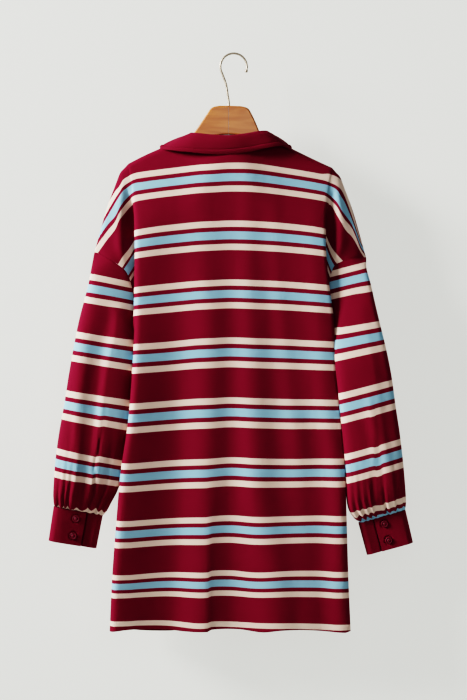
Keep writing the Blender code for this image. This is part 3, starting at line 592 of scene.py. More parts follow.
    def _plain(self, pulled: Array, down: Array) -> Array:
        """Control points of the strip beside the side seam, by mark and row.

        Args:
            pulled: how far the side fold is drawn in, by row.
            down: shares of the way from shoulder to hem.

        Returns:
            The points at each of strip_marks, by mark and row.
        """
        _, edge_y, edge_z = self.side_fold(down)
        seam_y, settled_y = self.seam_y
        depth = self.depth(down)
        width = TORSO.at("half_width", depth)
        drawn = TORSO.at("drawn_in", depth)
        settle = eased((depth - self.underarm) / self.seam_settle)
        tucked = self.side_tuck * (1.0 - drawn / TORSO["drawn_in"][0])
        points = []
        for share in np.linspace(0.0, 1.0, len(self.strip_marks)):
            out = width - drawn * eased(share) - tucked * (1.0 - share) ** 2
            out = out - pulled * (1.0 - share + share * settle) - self.seam_in * settle * share
            y = edge_y * (1.0 - share) + (seam_y + (settled_y - seam_y) * settle) * share
            z = edge_z - self.seam_drop * (1.0 - settle) * share
            points.append(np.stack([out, y, z], axis=-1))
        return np.stack(points)

    def sway(self, depth: Reals) -> Array:
        """Sideways shift of the body at a depth.

        Args:
            depth: depths below the hook's crown.

        Returns:
            The shift in x there.
        """
        into = eased((depth - self.sway_starts[0]) / (self.sway_starts[1] - self.sway_starts[0]))
        back = eased((depth - self.sway_ends[0]) / (self.sway_ends[1] - self.sway_ends[0]))
        return self.sway_most * into * (1.0 - back)

    def hemmed(self, face: Face, points: Array) -> Array:
        """The points with the hem's edge drawn up or let down, and less so above it.

        Args:
            face: front or back.
            points: points of the panel.

        Returns:
            The same points with their z changed.
        """
        x, y, z = np.moveaxis(points, -1, 0)
        near = np.clip((-z - self.hem + self.hem_reach) / self.hem_reach, 0.0, 1.0)
        lift = HEM_LIFT.at(face.name.lower(), x) * eased(near)
        return np.stack([x, y, z + lift], axis=-1)

    def leaned(self, points: Array) -> Array:
        """The points with the dress's lean, its sway and its place off the hook's middle.

        Args:
            points: points of an upright dress about its own middle.

        Returns:
            The points as they hang in the shared frame.
        """
        x, y, z = np.moveaxis(points, -1, 0)
        start, end = self.lean_fades
        fade = 1.0 - eased((-z - start) / (end - start))
        low = eased((-z - self.swing_starts[0]) / (self.swing_starts[1] - self.swing_starts[0]))
        past = np.maximum(0.0, (x - self.swing_from) / self.swing_over)
        swung = self.swing * low * past ** self.swing_power
        nearer = 1.0 - swung / self.far_off
        x, y, z = x * nearer, y + swung, (z + self.eye_depth) * nearer - self.eye_depth
        return np.stack([x + self.centre + self.sway(-z), y, z + self.lean * x * fade], axis=-1)


@dataclass(frozen=True)
class StripeMap:
    """Which course of the knit lies where on the hanging body."""

    repeat: float = 106.6
    first: float = 203.0
    spread_from: float = 163.0
    spread_over: float = 22.0
    spread_depth: float = 262.0
    spread_fade: float = 26.0
    last_slope: float = 1.5
    hem_past: float = 18.5

    @property
    def courses(self) -> list[float]:
        """Course of the first line of each stripe group."""
        return [self.first + self.repeat * group for group in range(len(GROUP_DEPTHS))]

    def on_body(self, x: Array, z: Array) -> Array:
        """Course at places between the side folds.

        Args:
            x: places across, from the dress's middle.
            z: their heights.

        Returns:
            The course at every place.
        """
        drops = [through(DROOP_PLACES, list(row.values()), x) for row in DROOP.rows()]
        lines = np.stack([-depth - drop for depth, drop in zip(GROUP_DEPTHS, drops)])
        return np.minimum(read_lines(lines, self.courses, z), self.courses[-1] + self.hem_past)

    def on_lobe(self, side: Side, out: Array, z: Array) -> Array:
        """Course at places on a dropped shoulder.

        Args:
            side: left or right.
            out: distances from the dress's middle.
            z: their heights.

        Returns:
            The course at every place.
        """
        beyond = self.last_slope * np.maximum(out - LOBE_PLACES[-1], 0.0)
        lines = np.stack([through(LOBE_PLACES, list(row.values())[1:], out) - beyond
                          for row in LOBES[side].rows()])
        return read_lines(lines, LOBES[side]["course"], z)

    def spread(self, out: Array, z: Array) -> Array:
        """How far the dropped shoulder's law reaches onto the body above the crease."""
        high = 1.0 - eased((-z - self.spread_depth) / self.spread_fade)
        return high * eased((out - self.spread_from) / self.spread_over)


# --- meshes --------------------------------------------------------------------------
def link(obj: Obj) -> Obj:
    """Puts an object in the scene."""
    bpy.context.scene.collection.objects.link(obj)
    return obj


def dress(obj: Obj, material: Material) -> Obj:
    """Gives an object its only material.

    Args:
        obj: the object.
        material: its finish.

    Returns:
        The same object.
    """
    obj.data.materials.clear()
    obj.data.materials.append(material)
    return obj


def plain_mesh(obj: Obj, name: str, merge: float = 0.0) -> Obj:
    """The object as modifiers and curves leave it, as a plain mesh that takes its place.

    Args:
        obj: the object to finish, which is removed.
        name: name of the new object.
        merge: distance in metres under which its points are merged, if any.

    Returns:
        The new object, with its materials.
    """
    graph = bpy.context.evaluated_depsgraph_get()
    data = bpy.data.meshes.new_from_object(obj.evaluated_get(graph), depsgraph=graph)
    data.transform(obj.matrix_world)
    if merge:
        work = bmesh.new()
        work.from_mesh(data)
        bmesh.ops.remove_doubles(work, verts=work.verts, dist=merge)
        bmesh.ops.recalc_face_normals(work, faces=work.faces)
        work.to_mesh(data)
        work.free()
    bpy.data.objects.remove(obj)
    data.name = name
    return link(bpy.data.objects.new(name, data))


@dataclass
class Cloth:
    """A sheet of cloth as rows of points, with their places on the flat knit."""

    points: Array
    flat: Array
    around: bool = False
    outward: float = 1.0
    left_out: Array | None = None

    def normals(self) -> Array:
        """Unit normals of every point, on the side that shows.

        Returns:
            The normals, by row and column.
        """
        down = np.gradient(self.points, axis=0)
        if self.around:
            across = np.roll(self.points, -1, axis=1) - np.roll(self.points, 1, axis=1)
        else:
            across = np.gradient(self.points, axis=1)
        return unit(np.cross(down, across)) * self.outward

    def above_foot(self, distance: float, lift: float) -> tuple[Array, Array]:
        """A path that keeps its distance above the sheet's lower edge.

        Args:
            distance: distance from the lower edge, measured along the cloth.
            lift: height of the path over the sheet's middle.

        Returns:
            The path's points and the sheet's normals under them.
        """
        reach = walked(self.points[::-1])[::-1]
        columns = np.arange(self.points.shape[1])
        lower = np.argmax(reach <= distance, axis=0)
        near, far = reach[lower, columns], reach[lower - 1, columns]
        share = ((distance - near) / (far - near))[:, None]
        points = self.points[lower, columns] * (1.0 - share)
        points = points + self.points[lower - 1, columns] * share
        normals = self.normals()[lower, columns]
        return points + normals * lift, normals

    def build(self, name: str, wall: float, material: Material,
              rounding: float = 0.4) -> Obj:
        """Makes the sheet a closed wall with rounded edges.

        Args:
            name: the piece's name.
            wall: its thickness.
            material: its finish.
            rounding: radius of the edges, as a share of the wall.

        Returns:
            The piece, as a plain mesh.
        """
        rows, columns = self.points.shape[:2]
        steps = columns if self.around else columns - 1
        i, j = (grid.ravel() for grid in np.mgrid[0:rows - 1, 0:steps])
        if self.left_out is not None:
            kept = ~self.left_out.ravel()
            i, j = i[kept], j[kept]
        corners = [(i, j), (i + 1, j), (i + 1, j + 1), (i, j + 1)]
        if self.outward < 0.0:
            corners.reverse()
        faces = np.stack([a * columns + b % columns for a, b in corners], axis=1)
        uvs = np.stack([self.flat[a, b] for a, b in corners], axis=1)
        used, faces = np.unique(faces, return_inverse=True)
        faces = faces.reshape(-1, 4)
        data = bpy.data.meshes.new(name)
        data.vertices.add(len(used))
        data.vertices.foreach_set("co", (self.points.reshape(-1, 3)[used] * MM).ravel())
        data.loops.add(faces.size)
        data.loops.foreach_set("vertex_index", faces.ravel().astype(np.int32))
        data.polygons.add(len(faces))
        data.polygons.foreach_set("loop_start", np.arange(0, faces.size, 4, dtype=np.int32))
        data.update(calc_edges=True)
        layer = data.uv_layers.new(name="knit")
        layer.data.foreach_set("uv", uvs.ravel().astype(np.float32))
        data.validate()
        obj = dress(link(bpy.data.objects.new(name + "_sheet", data)), material)
        solid = obj.modifiers.new("wall", "SOLIDIFY")
        solid.thickness = wall * MM
        solid.offset = 0.0
        bevel = obj.modifiers.new("edges", "BEVEL")
        bevel.width = wall * rounding * MM
        bevel.segments = EDGE_STEPS
        bevel.limit_method = "ANGLE"
        bevel.angle_limit = SHARP_ANGLE
        made = plain_mesh(obj, name)
        made.data.shade_smooth()
        return made


def lay_flat(points: Array) -> Array:
    """Distances along the rows of a sheet from its middle column, in metres.

    Args:
        points: the sheet's points by row and column.

    Returns:
        The distances, by row and column.
    """
    along = walked(points, axis=1)
    return (along - along[:, [along.shape[1] // 2]]) * MM


# --- shader and geometry trees -------------------------------------------------------
class Tree:
    """Short way to write the nodes of a material, group or modifier."""

    def __init__(self, tree: NodeTree) -> None:
        """Works on one node tree."""
        self.tree = tree

    def node(self, kind: str, inputs: dict | None = None, **settings: object) -> Node:
        """Adds a node, sets its properties and sets or links its inputs.

        Args:
            kind: the node's type.
            inputs: values or other nodes' outputs, by the input's name or number.
            settings: the node's properties.

        Returns:
            The node.
        """
        made = self.tree.nodes.new(kind)
        for name, value in settings.items():
            setattr(made, name, value)
        self.fill(made, inputs or {})
        return made

    def fill(self, node: Node, inputs: dict) -> None:
        """Sets or links inputs of a node."""
        for name, value in inputs.items():
            self.feed(node.inputs[name], value)

    def feed(self, socket: Socket, value: object) -> None:
        """Links a socket to another node's output, or sets it.

        Args:
            socket: the input.
            value: a value, or an output to link.
        """
        if isinstance(value, Socket):
            self.tree.links.new(value, socket)
        else:
            socket.default_value = value

    def math(self, operation: str, *values: object) -> Socket:
        """Output of a Math node."""
        return self.node("ShaderNodeMath", dict(enumerate(values)), operation=operation).outputs[0]

    def inverse(self, value: object) -> Socket:
        """What is left of 1 when a value is taken off."""
        return self.math("SUBTRACT", 1.0, value)

    def step(self, value: object, low: object, high: object) -> Socket:
        """Smooth 0-to-1 step of a value between two edges.

        Args:
            value: what is stepped.
            low: value at which the step starts.
            high: value at which it ends.

        Returns:
            The stepped value.
        """
        inputs = {"Value": value, "From Min": low, "From Max": high}
        return self.node("ShaderNodeMapRange", inputs, interpolation_type="SMOOTHSTEP").outputs["Result"]

    def mix(self, factor: object, a: object, b: object) -> Socket:
        """Output of a colour Mix node."""
        return self.node("ShaderNodeMix", {0: factor, 6: a, 7: b}, data_type="RGBA").outputs[2]

    def noise(self, place: object, scale: object, detail: float, roughness: float = 0.5,
              distortion: float = 0.0) -> Socket:
        """Value of a Noise Texture node.

        Args:
            place: coordinates that it reads.
            scale: its fineness.
            detail: how many finer layers it has.
            roughness: weight of the finer layers.
            distortion: how far it is swirled.

        Returns:
            The noise, about 0.5.
        """
        inputs = {"Vector": place, "Scale": scale, "Detail": detail, "Roughness": roughness,
                  "Distortion": distortion}
        return self.node("ShaderNodeTexNoise", inputs).outputs["Fac"]

    def bump(self, height: object, strength: float, distance: float) -> Socket:
        """Normal that a Bump node makes of a height."""
        inputs = {"Height": height, "Strength": strength, "Distance": distance}
        return self.node("ShaderNodeBump", inputs).outputs["Normal"]

    def place(self) -> Socket:
        """Object coordinates."""
        return self.node("ShaderNodeTexCoord").outputs["Object"]


def opaque(colour: Colour, share: float = 1.0) -> tuple[float, float, float, float]:
    """A socket's value for a share of a colour."""
    return (*(value * share for value in colour), 1.0)


def new_group(name: str, kind: str, inputs: dict[str, tuple[str, object]],
              outputs: dict[str, str]) -> tuple[Tree, dict, Node]:
    """Starts a node group with named sockets.

    Args:
        name: the group's name.
        kind: type of the tree.
        inputs: socket type and default value by name.
        outputs: socket type by name.

    Returns:
        The tree, its input sockets by name, and its output node.
    """
    group = bpy.data.node_groups.new(name, kind)
    for label, (socket, value) in inputs.items():
        made = group.interface.new_socket(name=label, in_out="INPUT", socket_type=socket)
        if value is not None:
            made.default_value = value
    for label, socket in outputs.items():
        group.interface.new_socket(name=label, in_out="OUTPUT", socket_type=socket)
    tree = Tree(group)
    entry = tree.node("NodeGroupInput")
    sockets = {label: entry.outputs[label] for label in inputs}
    return tree, sockets, tree.node("NodeGroupOutput")


FLOAT = "NodeSocketFloat"
COLOUR = "NodeSocketColor"
VECTOR = "NodeSocketVector"


class Effects:
    """Shader node groups that several finishes share."""

    def __init__(self) -> None:
        """Builds every group once."""
        self.stripes = self._stripes()
        self.knit = self._knit()
        self.tone = self._tone()

    @staticmethod
    def _stripes() -> NodeTree:
        """Stripe groups along the courses: pale, ground, blue, ground, pale, and wide ground.

        Returns:
            The group, which turns a course into a colour.
        """
        tree, at, out = new_group(
            "rugby_stripes", "ShaderNodeTree",
            {"Course": (FLOAT, 0.0), "Ground": (COLOUR, None), "Pale": (COLOUR, None),
             "Blue": (COLOUR, None), "Repeat": (FLOAT, 0.1066), "Start": (FLOAT, 0.203),
             "Middle": (FLOAT, 0.02745), "Blue Half": (FLOAT, 0.00725),
             "Pale Inner": (FLOAT, 0.0153), "Pale Outer": (FLOAT, 0.0266),
             "Softness": (FLOAT, 0.0003)},
            {"Colour": COLOUR})
        started = tree.math("SUBTRACT", at["Course"], at["Start"])
        place = tree.math("FLOORED_MODULO", started, at["Repeat"])
        away = tree.math("ABSOLUTE", tree.math("SUBTRACT", place, at["Middle"]))

        def within(edge: object) -> Socket:
            """1 where the course lies nearer to the group's middle than an edge.

            Args:
                edge: distance from the group's middle.

            Returns:
                The soft mask.
            """
            low = tree.math("SUBTRACT", edge, at["Softness"])
            high = tree.math("ADD", edge, at["Softness"])
            return tree.inverse(tree.step(away, low, high))

        blue = within(at["Blue Half"])
        pale = tree.math("SUBTRACT", within(at["Pale Outer"]), within(at["Pale Inner"]))
        colour = tree.mix(pale, at["Ground"], at["Pale"])
        tree.feed(out.inputs["Colour"], tree.mix(blue, colour, at["Blue"]))
        return tree.tree

    @staticmethod
    def _knit() -> NodeTree:
        """Columns of interlocked V loops, as a height from 0 to 1.

        Returns:
            The group, with the loops' height and how far each shifts its course.
        """
        tree, at, out = new_group(
            "knit_loops", "ShaderNodeTree",
            {"Across": (FLOAT, 0.0), "Along": (FLOAT, 0.0), "Wale": (FLOAT, 0.0011),
             "Course": (FLOAT, 0.0009), "Slant": (FLOAT, 0.55)},
            {"Height": FLOAT, "Shift": FLOAT})

        def rounded(share: object) -> Socket:
            """Arch that is 1 at a share of one half, and 0 at 0 and 1.

            Args:
                share: value from 0 to 1.

            Returns:
                The arch's height.
            """
            centred = tree.math("SUBTRACT", tree.math("MULTIPLY", share, 2.0), 1.0)
            return tree.inverse(tree.math("MULTIPLY", centred, centred))

        column = tree.math("DIVIDE", at["Across"], at["Wale"])
        part = tree.math("SUBTRACT", tree.math("FRACT", column), 0.5)
        arm = tree.math("MULTIPLY", tree.math("ABSOLUTE", part), 2.0)
        row = tree.math("DIVIDE", at["Along"], at["Course"])
        slanted = tree.math("MULTIPLY_ADD", arm, at["Slant"], row)
        loop = rounded(tree.math("FRACT", slanted))
        tree.feed(out.inputs["Height"], tree.math("MULTIPLY", loop, rounded(arm)))
        shift = tree.math("MULTIPLY", tree.math("MULTIPLY", arm, at["Slant"]), at["Course"])
        tree.feed(out.inputs["Shift"], shift)
        return tree.tree

    @staticmethod
    def _tone() -> NodeTree:
        """Uneven dye: broad cloudy patches, and fine streaks where a vector is stretched.

        Returns:
            The group, which turns a colour into an uneven one.
        """
        tree, at, out = new_group(
            "uneven_tone", "ShaderNodeTree",
            {"Colour": (COLOUR, None), "Place": (VECTOR, None), "Streaks": (VECTOR, None),
             "Cloud Scale": (FLOAT, 14.0), "Cloud": (FLOAT, 0.1), "Streak": (FLOAT, 0.12)},
            {"Colour": COLOUR})
        cloud = tree.noise(at["Place"], at["Cloud Scale"], 3.0, roughness=0.55)
        streak = tree.noise(at["Streaks"], 1.0, 2.0, roughness=0.6)
        total = tree.math("MULTIPLY", tree.math("SUBTRACT", cloud, 0.5), at["Cloud"])
        total = tree.math("MULTIPLY_ADD", tree.math("SUBTRACT", streak, 0.5), at["Streak"], total)
        factor = tree.math("ADD", tree.math("MULTIPLY", total, 2.0), 1.0)
        scaled = tree.node("ShaderNodeVectorMath", {0: at["Colour"], "Scale": factor}, operation="SCALE")
        tree.feed(out.inputs["Colour"], scaled.outputs[0])
        return tree.tree


def start_material(name: str) -> tuple[Material, Tree, Node]:
    """An empty node material with its Principled shader.

    Args:
        name: the material's name.

    Returns:
        The material, its tree and its shader.
    """
    made = bpy.data.materials.new(name)
    made.use_nodes = True
    return made, Tree(made.node_tree), made.node_tree.nodes["Principled BSDF"]


@dataclass(frozen=True)
class KnitFinish:
    """Knitted cotton, plain or striped."""

    name: str
    ground: Colour
    pale: Colour | None = None
    blue: Colour | None = None
    wale: float = 0.0011
    course: float = 0.0009
    depth: float = 0.00016
    relief: float = 0.6
    valleys: float = 0.86
    loop_tops: float = -0.08
    sheen: float = 0.05
    sheen_spread: float = 0.4
    sheen_tint: Colour = (1.0, 0.22, 0.3)
    gloss: float = 0.1
    cloud: float = 0.04
    streak: float = 0.05
    across_streaks: float = 30.0
    along_streaks: float = 1100.0

    def material(self, effects: Effects) -> Material:
        """Builds the material.

        Args:
            effects: the shared node groups.

        Returns:
            The material, which reads the UV map "knit" and Object coordinates.
        """
        made, tree, shader = start_material(self.name)
        flat = tree.node("ShaderNodeUVMap", uv_map="knit").outputs["UV"]
        parts = tree.node("ShaderNodeSeparateXYZ", {0: flat})
        across, along = parts.outputs["X"], parts.outputs["Y"]
        knit = tree.node("ShaderNodeGroup", node_tree=effects.knit)
        tree.fill(knit, {"Across": across, "Along": along, "Wale": self.wale, "Course": self.course})
        colour: object = opaque(self.ground)
        if self.pale and self.blue:
            stripes = tree.node("ShaderNodeGroup", node_tree=effects.stripes)
            tree.fill(stripes, {"Course": tree.math("ADD", along, knit.outputs["Shift"]),
                                "Ground": opaque(self.ground), "Pale": opaque(self.pale),
                                "Blue": opaque(self.blue)})
            colour = stripes.outputs["Colour"]
        streaks = tree.node("ShaderNodeCombineXYZ", {
            "X": tree.math("MULTIPLY", across, self.across_streaks),
            "Y": tree.math("MULTIPLY", along, self.along_streaks)}).outputs[0]
        tone = tree.node("ShaderNodeGroup", node_tree=effects.tone)
        tree.fill(tone, {"Colour": colour, "Place": tree.place(), "Streaks": streaks,
                         "Cloud": self.cloud, "Streak": self.streak})
        height = knit.outputs["Height"]
        tree.fill(shader, {
            "Base Color": tone.outputs["Colour"],
            "Roughness": tree.math("MULTIPLY_ADD", height, self.loop_tops, self.valleys),
            "Normal": tree.bump(height, self.relief, self.depth),
            "Sheen Weight": self.sheen,
            "Sheen Roughness": self.sheen_spread,
            "Sheen Tint": opaque(self.sheen_tint),
            "Specular IOR Level": self.gloss})
        return made


@dataclass(frozen=True)
class ThreadFinish:
    """Twisted sewing thread."""

    name: str
    colour: Colour
    shaded: float = 0.7
    twists: float = 900.0
    wander: float = 1.5
    relief: float = 0.4
    depth: float = 0.0001
    roughness: float = 0.6
    sheen: float = 0.1

    def material(self) -> Material:
        """Builds the material.

        Returns:
            The material, which reads Object coordinates.
        """
        made, tree, shader = start_material(self.name)
        inputs = {"Vector": tree.place(), "Scale": self.twists, "Distortion": self.wander}
        twist = tree.node("ShaderNodeTexWave", inputs, bands_direction="DIAGONAL").outputs["Fac"]
        tree.fill(shader, {
            "Base Color": tree.mix(twist, opaque(self.colour, self.shaded), opaque(self.colour)),
            "Normal": tree.bump(twist, self.relief, self.depth),
            "Roughness": self.roughness,
            "Sheen Weight": self.sheen})
        return made


@dataclass(frozen=True)
class ButtonFinish:
    """Moulded resin, dyed to match and slightly cloudy."""

    name: str = "button_resin"
    colour: Colour = (0.085, 0.003, 0.016)
    cloudy: Colour = (0.115, 0.005, 0.022)
    clouds: float = 260.0
    scratches: float = 3000.0
    polished: float = 0.42
    scratched: float = 0.14
    relief: float = 0.15
    depth: float = 0.00005
    gloss: float = 0.2

    def material(self) -> Material:
        """Builds the material.

        Returns:
            The material, which reads Object coordinates.
        """
        made, tree, shader = start_material(self.name)
        place = tree.place()
        cloud = tree.noise(place, self.clouds, 4.0, distortion=0.8)
        scratch = tree.noise(place, self.scratches, 2.0)
        tree.fill(shader, {
            "Base Color": tree.mix(cloud, opaque(self.colour), opaque(self.cloudy)),
            "Roughness": tree.math("MULTIPLY_ADD", scratch, self.scratched, self.polished),
            "Normal": tree.bump(scratch, self.relief, self.depth),
            "Specular IOR Level": self.gloss})
        return made


@dataclass(frozen=True)
class WoodFinish:
    """Varnished hardwood with its grain along the arm, a dark glue line where the arms meet, and painted
    shade on its downward faces.
    """

    name: str = "varnished_wood"
    light: Colour = (0.40, 0.146, 0.037)
    dark: Colour = (0.285, 0.088, 0.024)
    # The glue colour is the glue line's own colour and also the colour of the painted shade on faces that
    # point down.
    glue: Colour = (0.13, 0.045, 0.015)
    joint: float = 0.010
    glue_edges: Pair = (0.0003, 0.0011)
    glue_share: float = 0.75
    # Painted shade: how far faces that point down are darkened towards the glue colour.
    underside_shade_share: float = 0.9
    grain_turn: float = 0.45
    rings: tuple[float, float, float] = (9.0, 60.0, 95.0)
    pores: tuple[float, float, float] = (60.0, 900.0, 1500.0)
    figure_edges: Pair = (0.3, 0.72)
    pore_edges: Pair = (0.55, 0.75)
    pore_share: float = 0.35
    # Painted shade: how steeply a face must point down for that darkening to start and to be full.
    underside_shade_edges: Pair = (0.5, 0.9)
    smooth: float = 0.3
    rougher: float = 0.12
    relief: float = 0.15
    depth: float = 0.0001
    coat: float = 0.35
    coat_roughness: float = 0.2

    def material(self) -> Material:
        """Builds the material.

        Returns:
            The material, which reads Object coordinates.
        """
        made, tree, shader = start_material(self.name)
        place = tree.place()
        rings, fine = (
            tree.node("ShaderNodeMapping", {"Vector": place, "Rotation": (0.0, self.grain_turn, 0.0),
                                            "Scale": scale}).outputs[0]
            for scale in (self.rings, self.pores))
        grown = tree.noise(rings, 1.0, 5.0, roughness=0.6, distortion=0.9)
        figure = tree.step(grown, *self.figure_edges)
        pores = tree.noise(fine, 1.0, 2.0)
        colour = tree.mix(figure, opaque(self.light), opaque(self.dark))
        speck = tree.math("MULTIPLY", tree.step(pores, *self.pore_edges), self.pore_share)
        colour = tree.mix(speck, colour, opaque(self.dark))
        across = tree.node("ShaderNodeSeparateXYZ", {0: place}).outputs["X"]
        away = tree.math("ABSOLUTE", tree.math("SUBTRACT", across, self.joint))
        # Painted shade: faces that point down get the glue colour mixed in, as though they lay in shade.
        normal = tree.node("ShaderNodeNewGeometry").outputs["Normal"]
        facing = tree.node("ShaderNodeSeparateXYZ", {0: normal}).outputs["Z"]
        below = tree.step(tree.math("MULTIPLY", facing, -1.0), *self.underside_shade_edges)
        under = tree.math("MULTIPLY", below, self.underside_shade_share)
        colour = tree.mix(under, colour, opaque(self.glue))
        glue = tree.math("MULTIPLY", tree.inverse(tree.step(away, *self.glue_edges)), self.glue_share)
        tree.fill(shader, {
            "Base Color": tree.mix(glue, colour, opaque(self.glue)),
            "Roughness": tree.math("MULTIPLY_ADD", figure, self.rougher, self.smooth),
            "Normal": tree.bump(pores, self.relief, self.depth),
            "Coat Weight": self.coat,
            "Coat Roughness": self.coat_roughness})
        return made


@dataclass(frozen=True)
class WireFinish:
    """Drawn and lacquered brass-coloured wire."""

    name: str = "hook_wire"
    colour: Colour = (0.42, 0.36, 0.29)
    shaded: float = 0.72
    drawing: float = 700.0
    smooth: float = 0.36
    rougher: float = 0.2

    def material(self) -> Material:
        """Builds the material.

        Returns:
            The material, which reads Object coordinates.
        """
        made, tree, shader = start_material(self.name)
        drawn = tree.noise(tree.place(), self.drawing, 3.0)
        tree.fill(shader, {
            "Base Color": tree.mix(drawn, opaque(self.colour), opaque(self.colour, self.shaded)),
            "Roughness": tree.math("MULTIPLY_ADD", drawn, self.rougher, self.smooth),
            "Metallic": 1.0})
        return made


class Finishes:
    """Every material of the dress and its hanger."""

    def __init__(self) -> None:
        """Builds the shared effects and then the materials."""
        effects = Effects()
        ground = (0.139, 0.0035, 0.0235)
        self.jersey = KnitFinish("striped_jersey", ground, pale=(0.68, 0.515, 0.43),
                                 blue=(0.233, 0.415, 0.53)).material(effects)
        self.band = KnitFinish("burgundy_band", ground, wale=0.0013, course=0.0011,
                               depth=0.00012).material(effects)
        self.collar = KnitFinish("crimson_collar", (0.135, 0.004, 0.023), wale=0.0024,
                                 course=0.0013, depth=0.0003, across_streaks=420.0,
                                 along_streaks=40.0).material(effects)
        self.thread = ThreadFinish("burgundy_thread", (0.24, 0.02, 0.05)).material()
        self.button = ButtonFinish().material()
        self.wood = WoodFinish().material()
        self.wire = WireFinish().material()


class StitchMaker:
    """Lays stitches of thread along paths, with one Geometry Nodes tree."""

    THREAD_SIDES = 6
    THREAD_RINGS = 5

    def __init__(self) -> None:
        """Builds the tree."""
        tree, at, out = new_group(
            "stitch_row", "GeometryNodeTree",
            {"Geometry": ("NodeSocketGeometry", None), "Pitch": (FLOAT, 0.003),
             "Length Share": (FLOAT, 0.8), "Thread Radius": (FLOAT, 0.0003),
             "Unevenness": (FLOAT, 0.12), "Seed": ("NodeSocketInt", 7),
             "Material": ("NodeSocketMaterial", None)},
            {"Geometry": "NodeSocketGeometry"})
        curve = tree.node("GeometryNodeMeshToCurve", {0: at["Geometry"]}).outputs[0]
        spaced = tree.node("GeometryNodeResampleCurve", {"Curve": curve, "Length": at["Pitch"]},
                           mode="LENGTH").outputs[0]
        ball = tree.node("GeometryNodeMeshUVSphere", {"Segments": self.THREAD_SIDES,
                                                      "Rings": self.THREAD_RINGS, "Radius": 1.0})
        half = tree.math("MULTIPLY", tree.math("MULTIPLY", at["Pitch"], at["Length Share"]), 0.5)
        size = tree.node("ShaderNodeCombineXYZ", {"X": half, "Y": at["Thread Radius"],
                                                  "Z": at["Thread Radius"]}).outputs[0]
        thread = tree.node("GeometryNodeTransform",
                           {"Geometry": ball.outputs[0], "Scale": size}).outputs[0]
        tangent = tree.node("GeometryNodeInputTangent").outputs[0]
        outward = tree.node("GeometryNodeInputNamedAttribute", {"Name": "outward"},
                            data_type="FLOAT_VECTOR").outputs[0]
        along = tree.node("FunctionNodeAlignRotationToVector", {"Vector": tangent}, axis="X").outputs[0]
        turned = tree.node("FunctionNodeAlignRotationToVector", {"Rotation": along, "Vector": outward},
                           axis="Z", pivot_axis="X").outputs[0]
        low = tree.math("SUBTRACT", 1.0, at["Unevenness"])
        high = tree.math("ADD", 1.0, at["Unevenness"])
        uneven = tree.node("FunctionNodeRandomValue", {2: low, 3: high, "Seed": at["Seed"]}).outputs[1]
        placed = tree.node("GeometryNodeInstanceOnPoints",
                           {"Points": spaced, "Instance": thread, "Rotation": turned,
                            "Scale": uneven}).outputs[0]
        real = tree.node("GeometryNodeRealizeInstances", {"Geometry": placed}).outputs[0]
        done = tree.node("GeometryNodeSetMaterial", {"Geometry": real, "Material": at["Material"]})
        tree.feed(out.inputs["Geometry"], done.outputs[0])
        self.tree = tree.tree
        self.keys = {item.name: item.identifier for item in self.tree.interface.items_tree
                     if item.in_out == "INPUT"}

    def sew(self, name: str, paths: Sequence[tuple[Array, Array]],
            material: Material, pitch: float, radius: float, share: float = 0.8,
            seed: int = 7) -> Obj:
        """Lays one row of stitches along each path.

        Args:
            name: the piece's name.
            paths: points and outward directions of each row.
            material: the thread's finish.
            pitch: length of a stitch with its gap.
            radius: the thread's radius.
            share: part of the pitch that the thread covers.
            seed: seed of the stitches' unevenness.

        Returns:
            All the stitches as one plain mesh.
        """
        data = bpy.data.meshes.new(name + "_path")
        points = np.concatenate([path for path, _ in paths]) * MM
        outward = np.concatenate([normals for _, normals in paths])
        edges, start = [], 0
        for path, _ in paths:
            edges += [(start + k, start + k + 1) for k in range(len(path) - 1)]
            start += len(path)
        data.from_pydata([tuple(point) for point in points], edges, [])
        layer = data.attributes.new("outward", "FLOAT_VECTOR", "POINT")
        layer.data.foreach_set("vector", outward.astype(np.float32).ravel())
        obj = link(bpy.data.objects.new(name + "_path", data))
        modifier = obj.modifiers.new("stitches", "NODES")
        modifier.node_group = self.tree
        inputs = {"Pitch": pitch * MM, "Length Share": share, "Thread Radius": radius * MM,
                  "Seed": seed, "Material": material}
        for label, value in inputs.items():
            modifier[self.keys[label]] = value
        made = plain_mesh(obj, name)
        made.data.shade_smooth()
        return made


# --- front and back ------------------------------------------------------------------
def stops(*runs: tuple[float, float, int]) -> Array:
    """Places along a line: each run has its start, its end and its number of steps."""
    made = [np.linspace(start, end, steps, endpoint=False) for start, end, steps in runs]
    return np.concatenate(made + [[runs[-1][1]]])


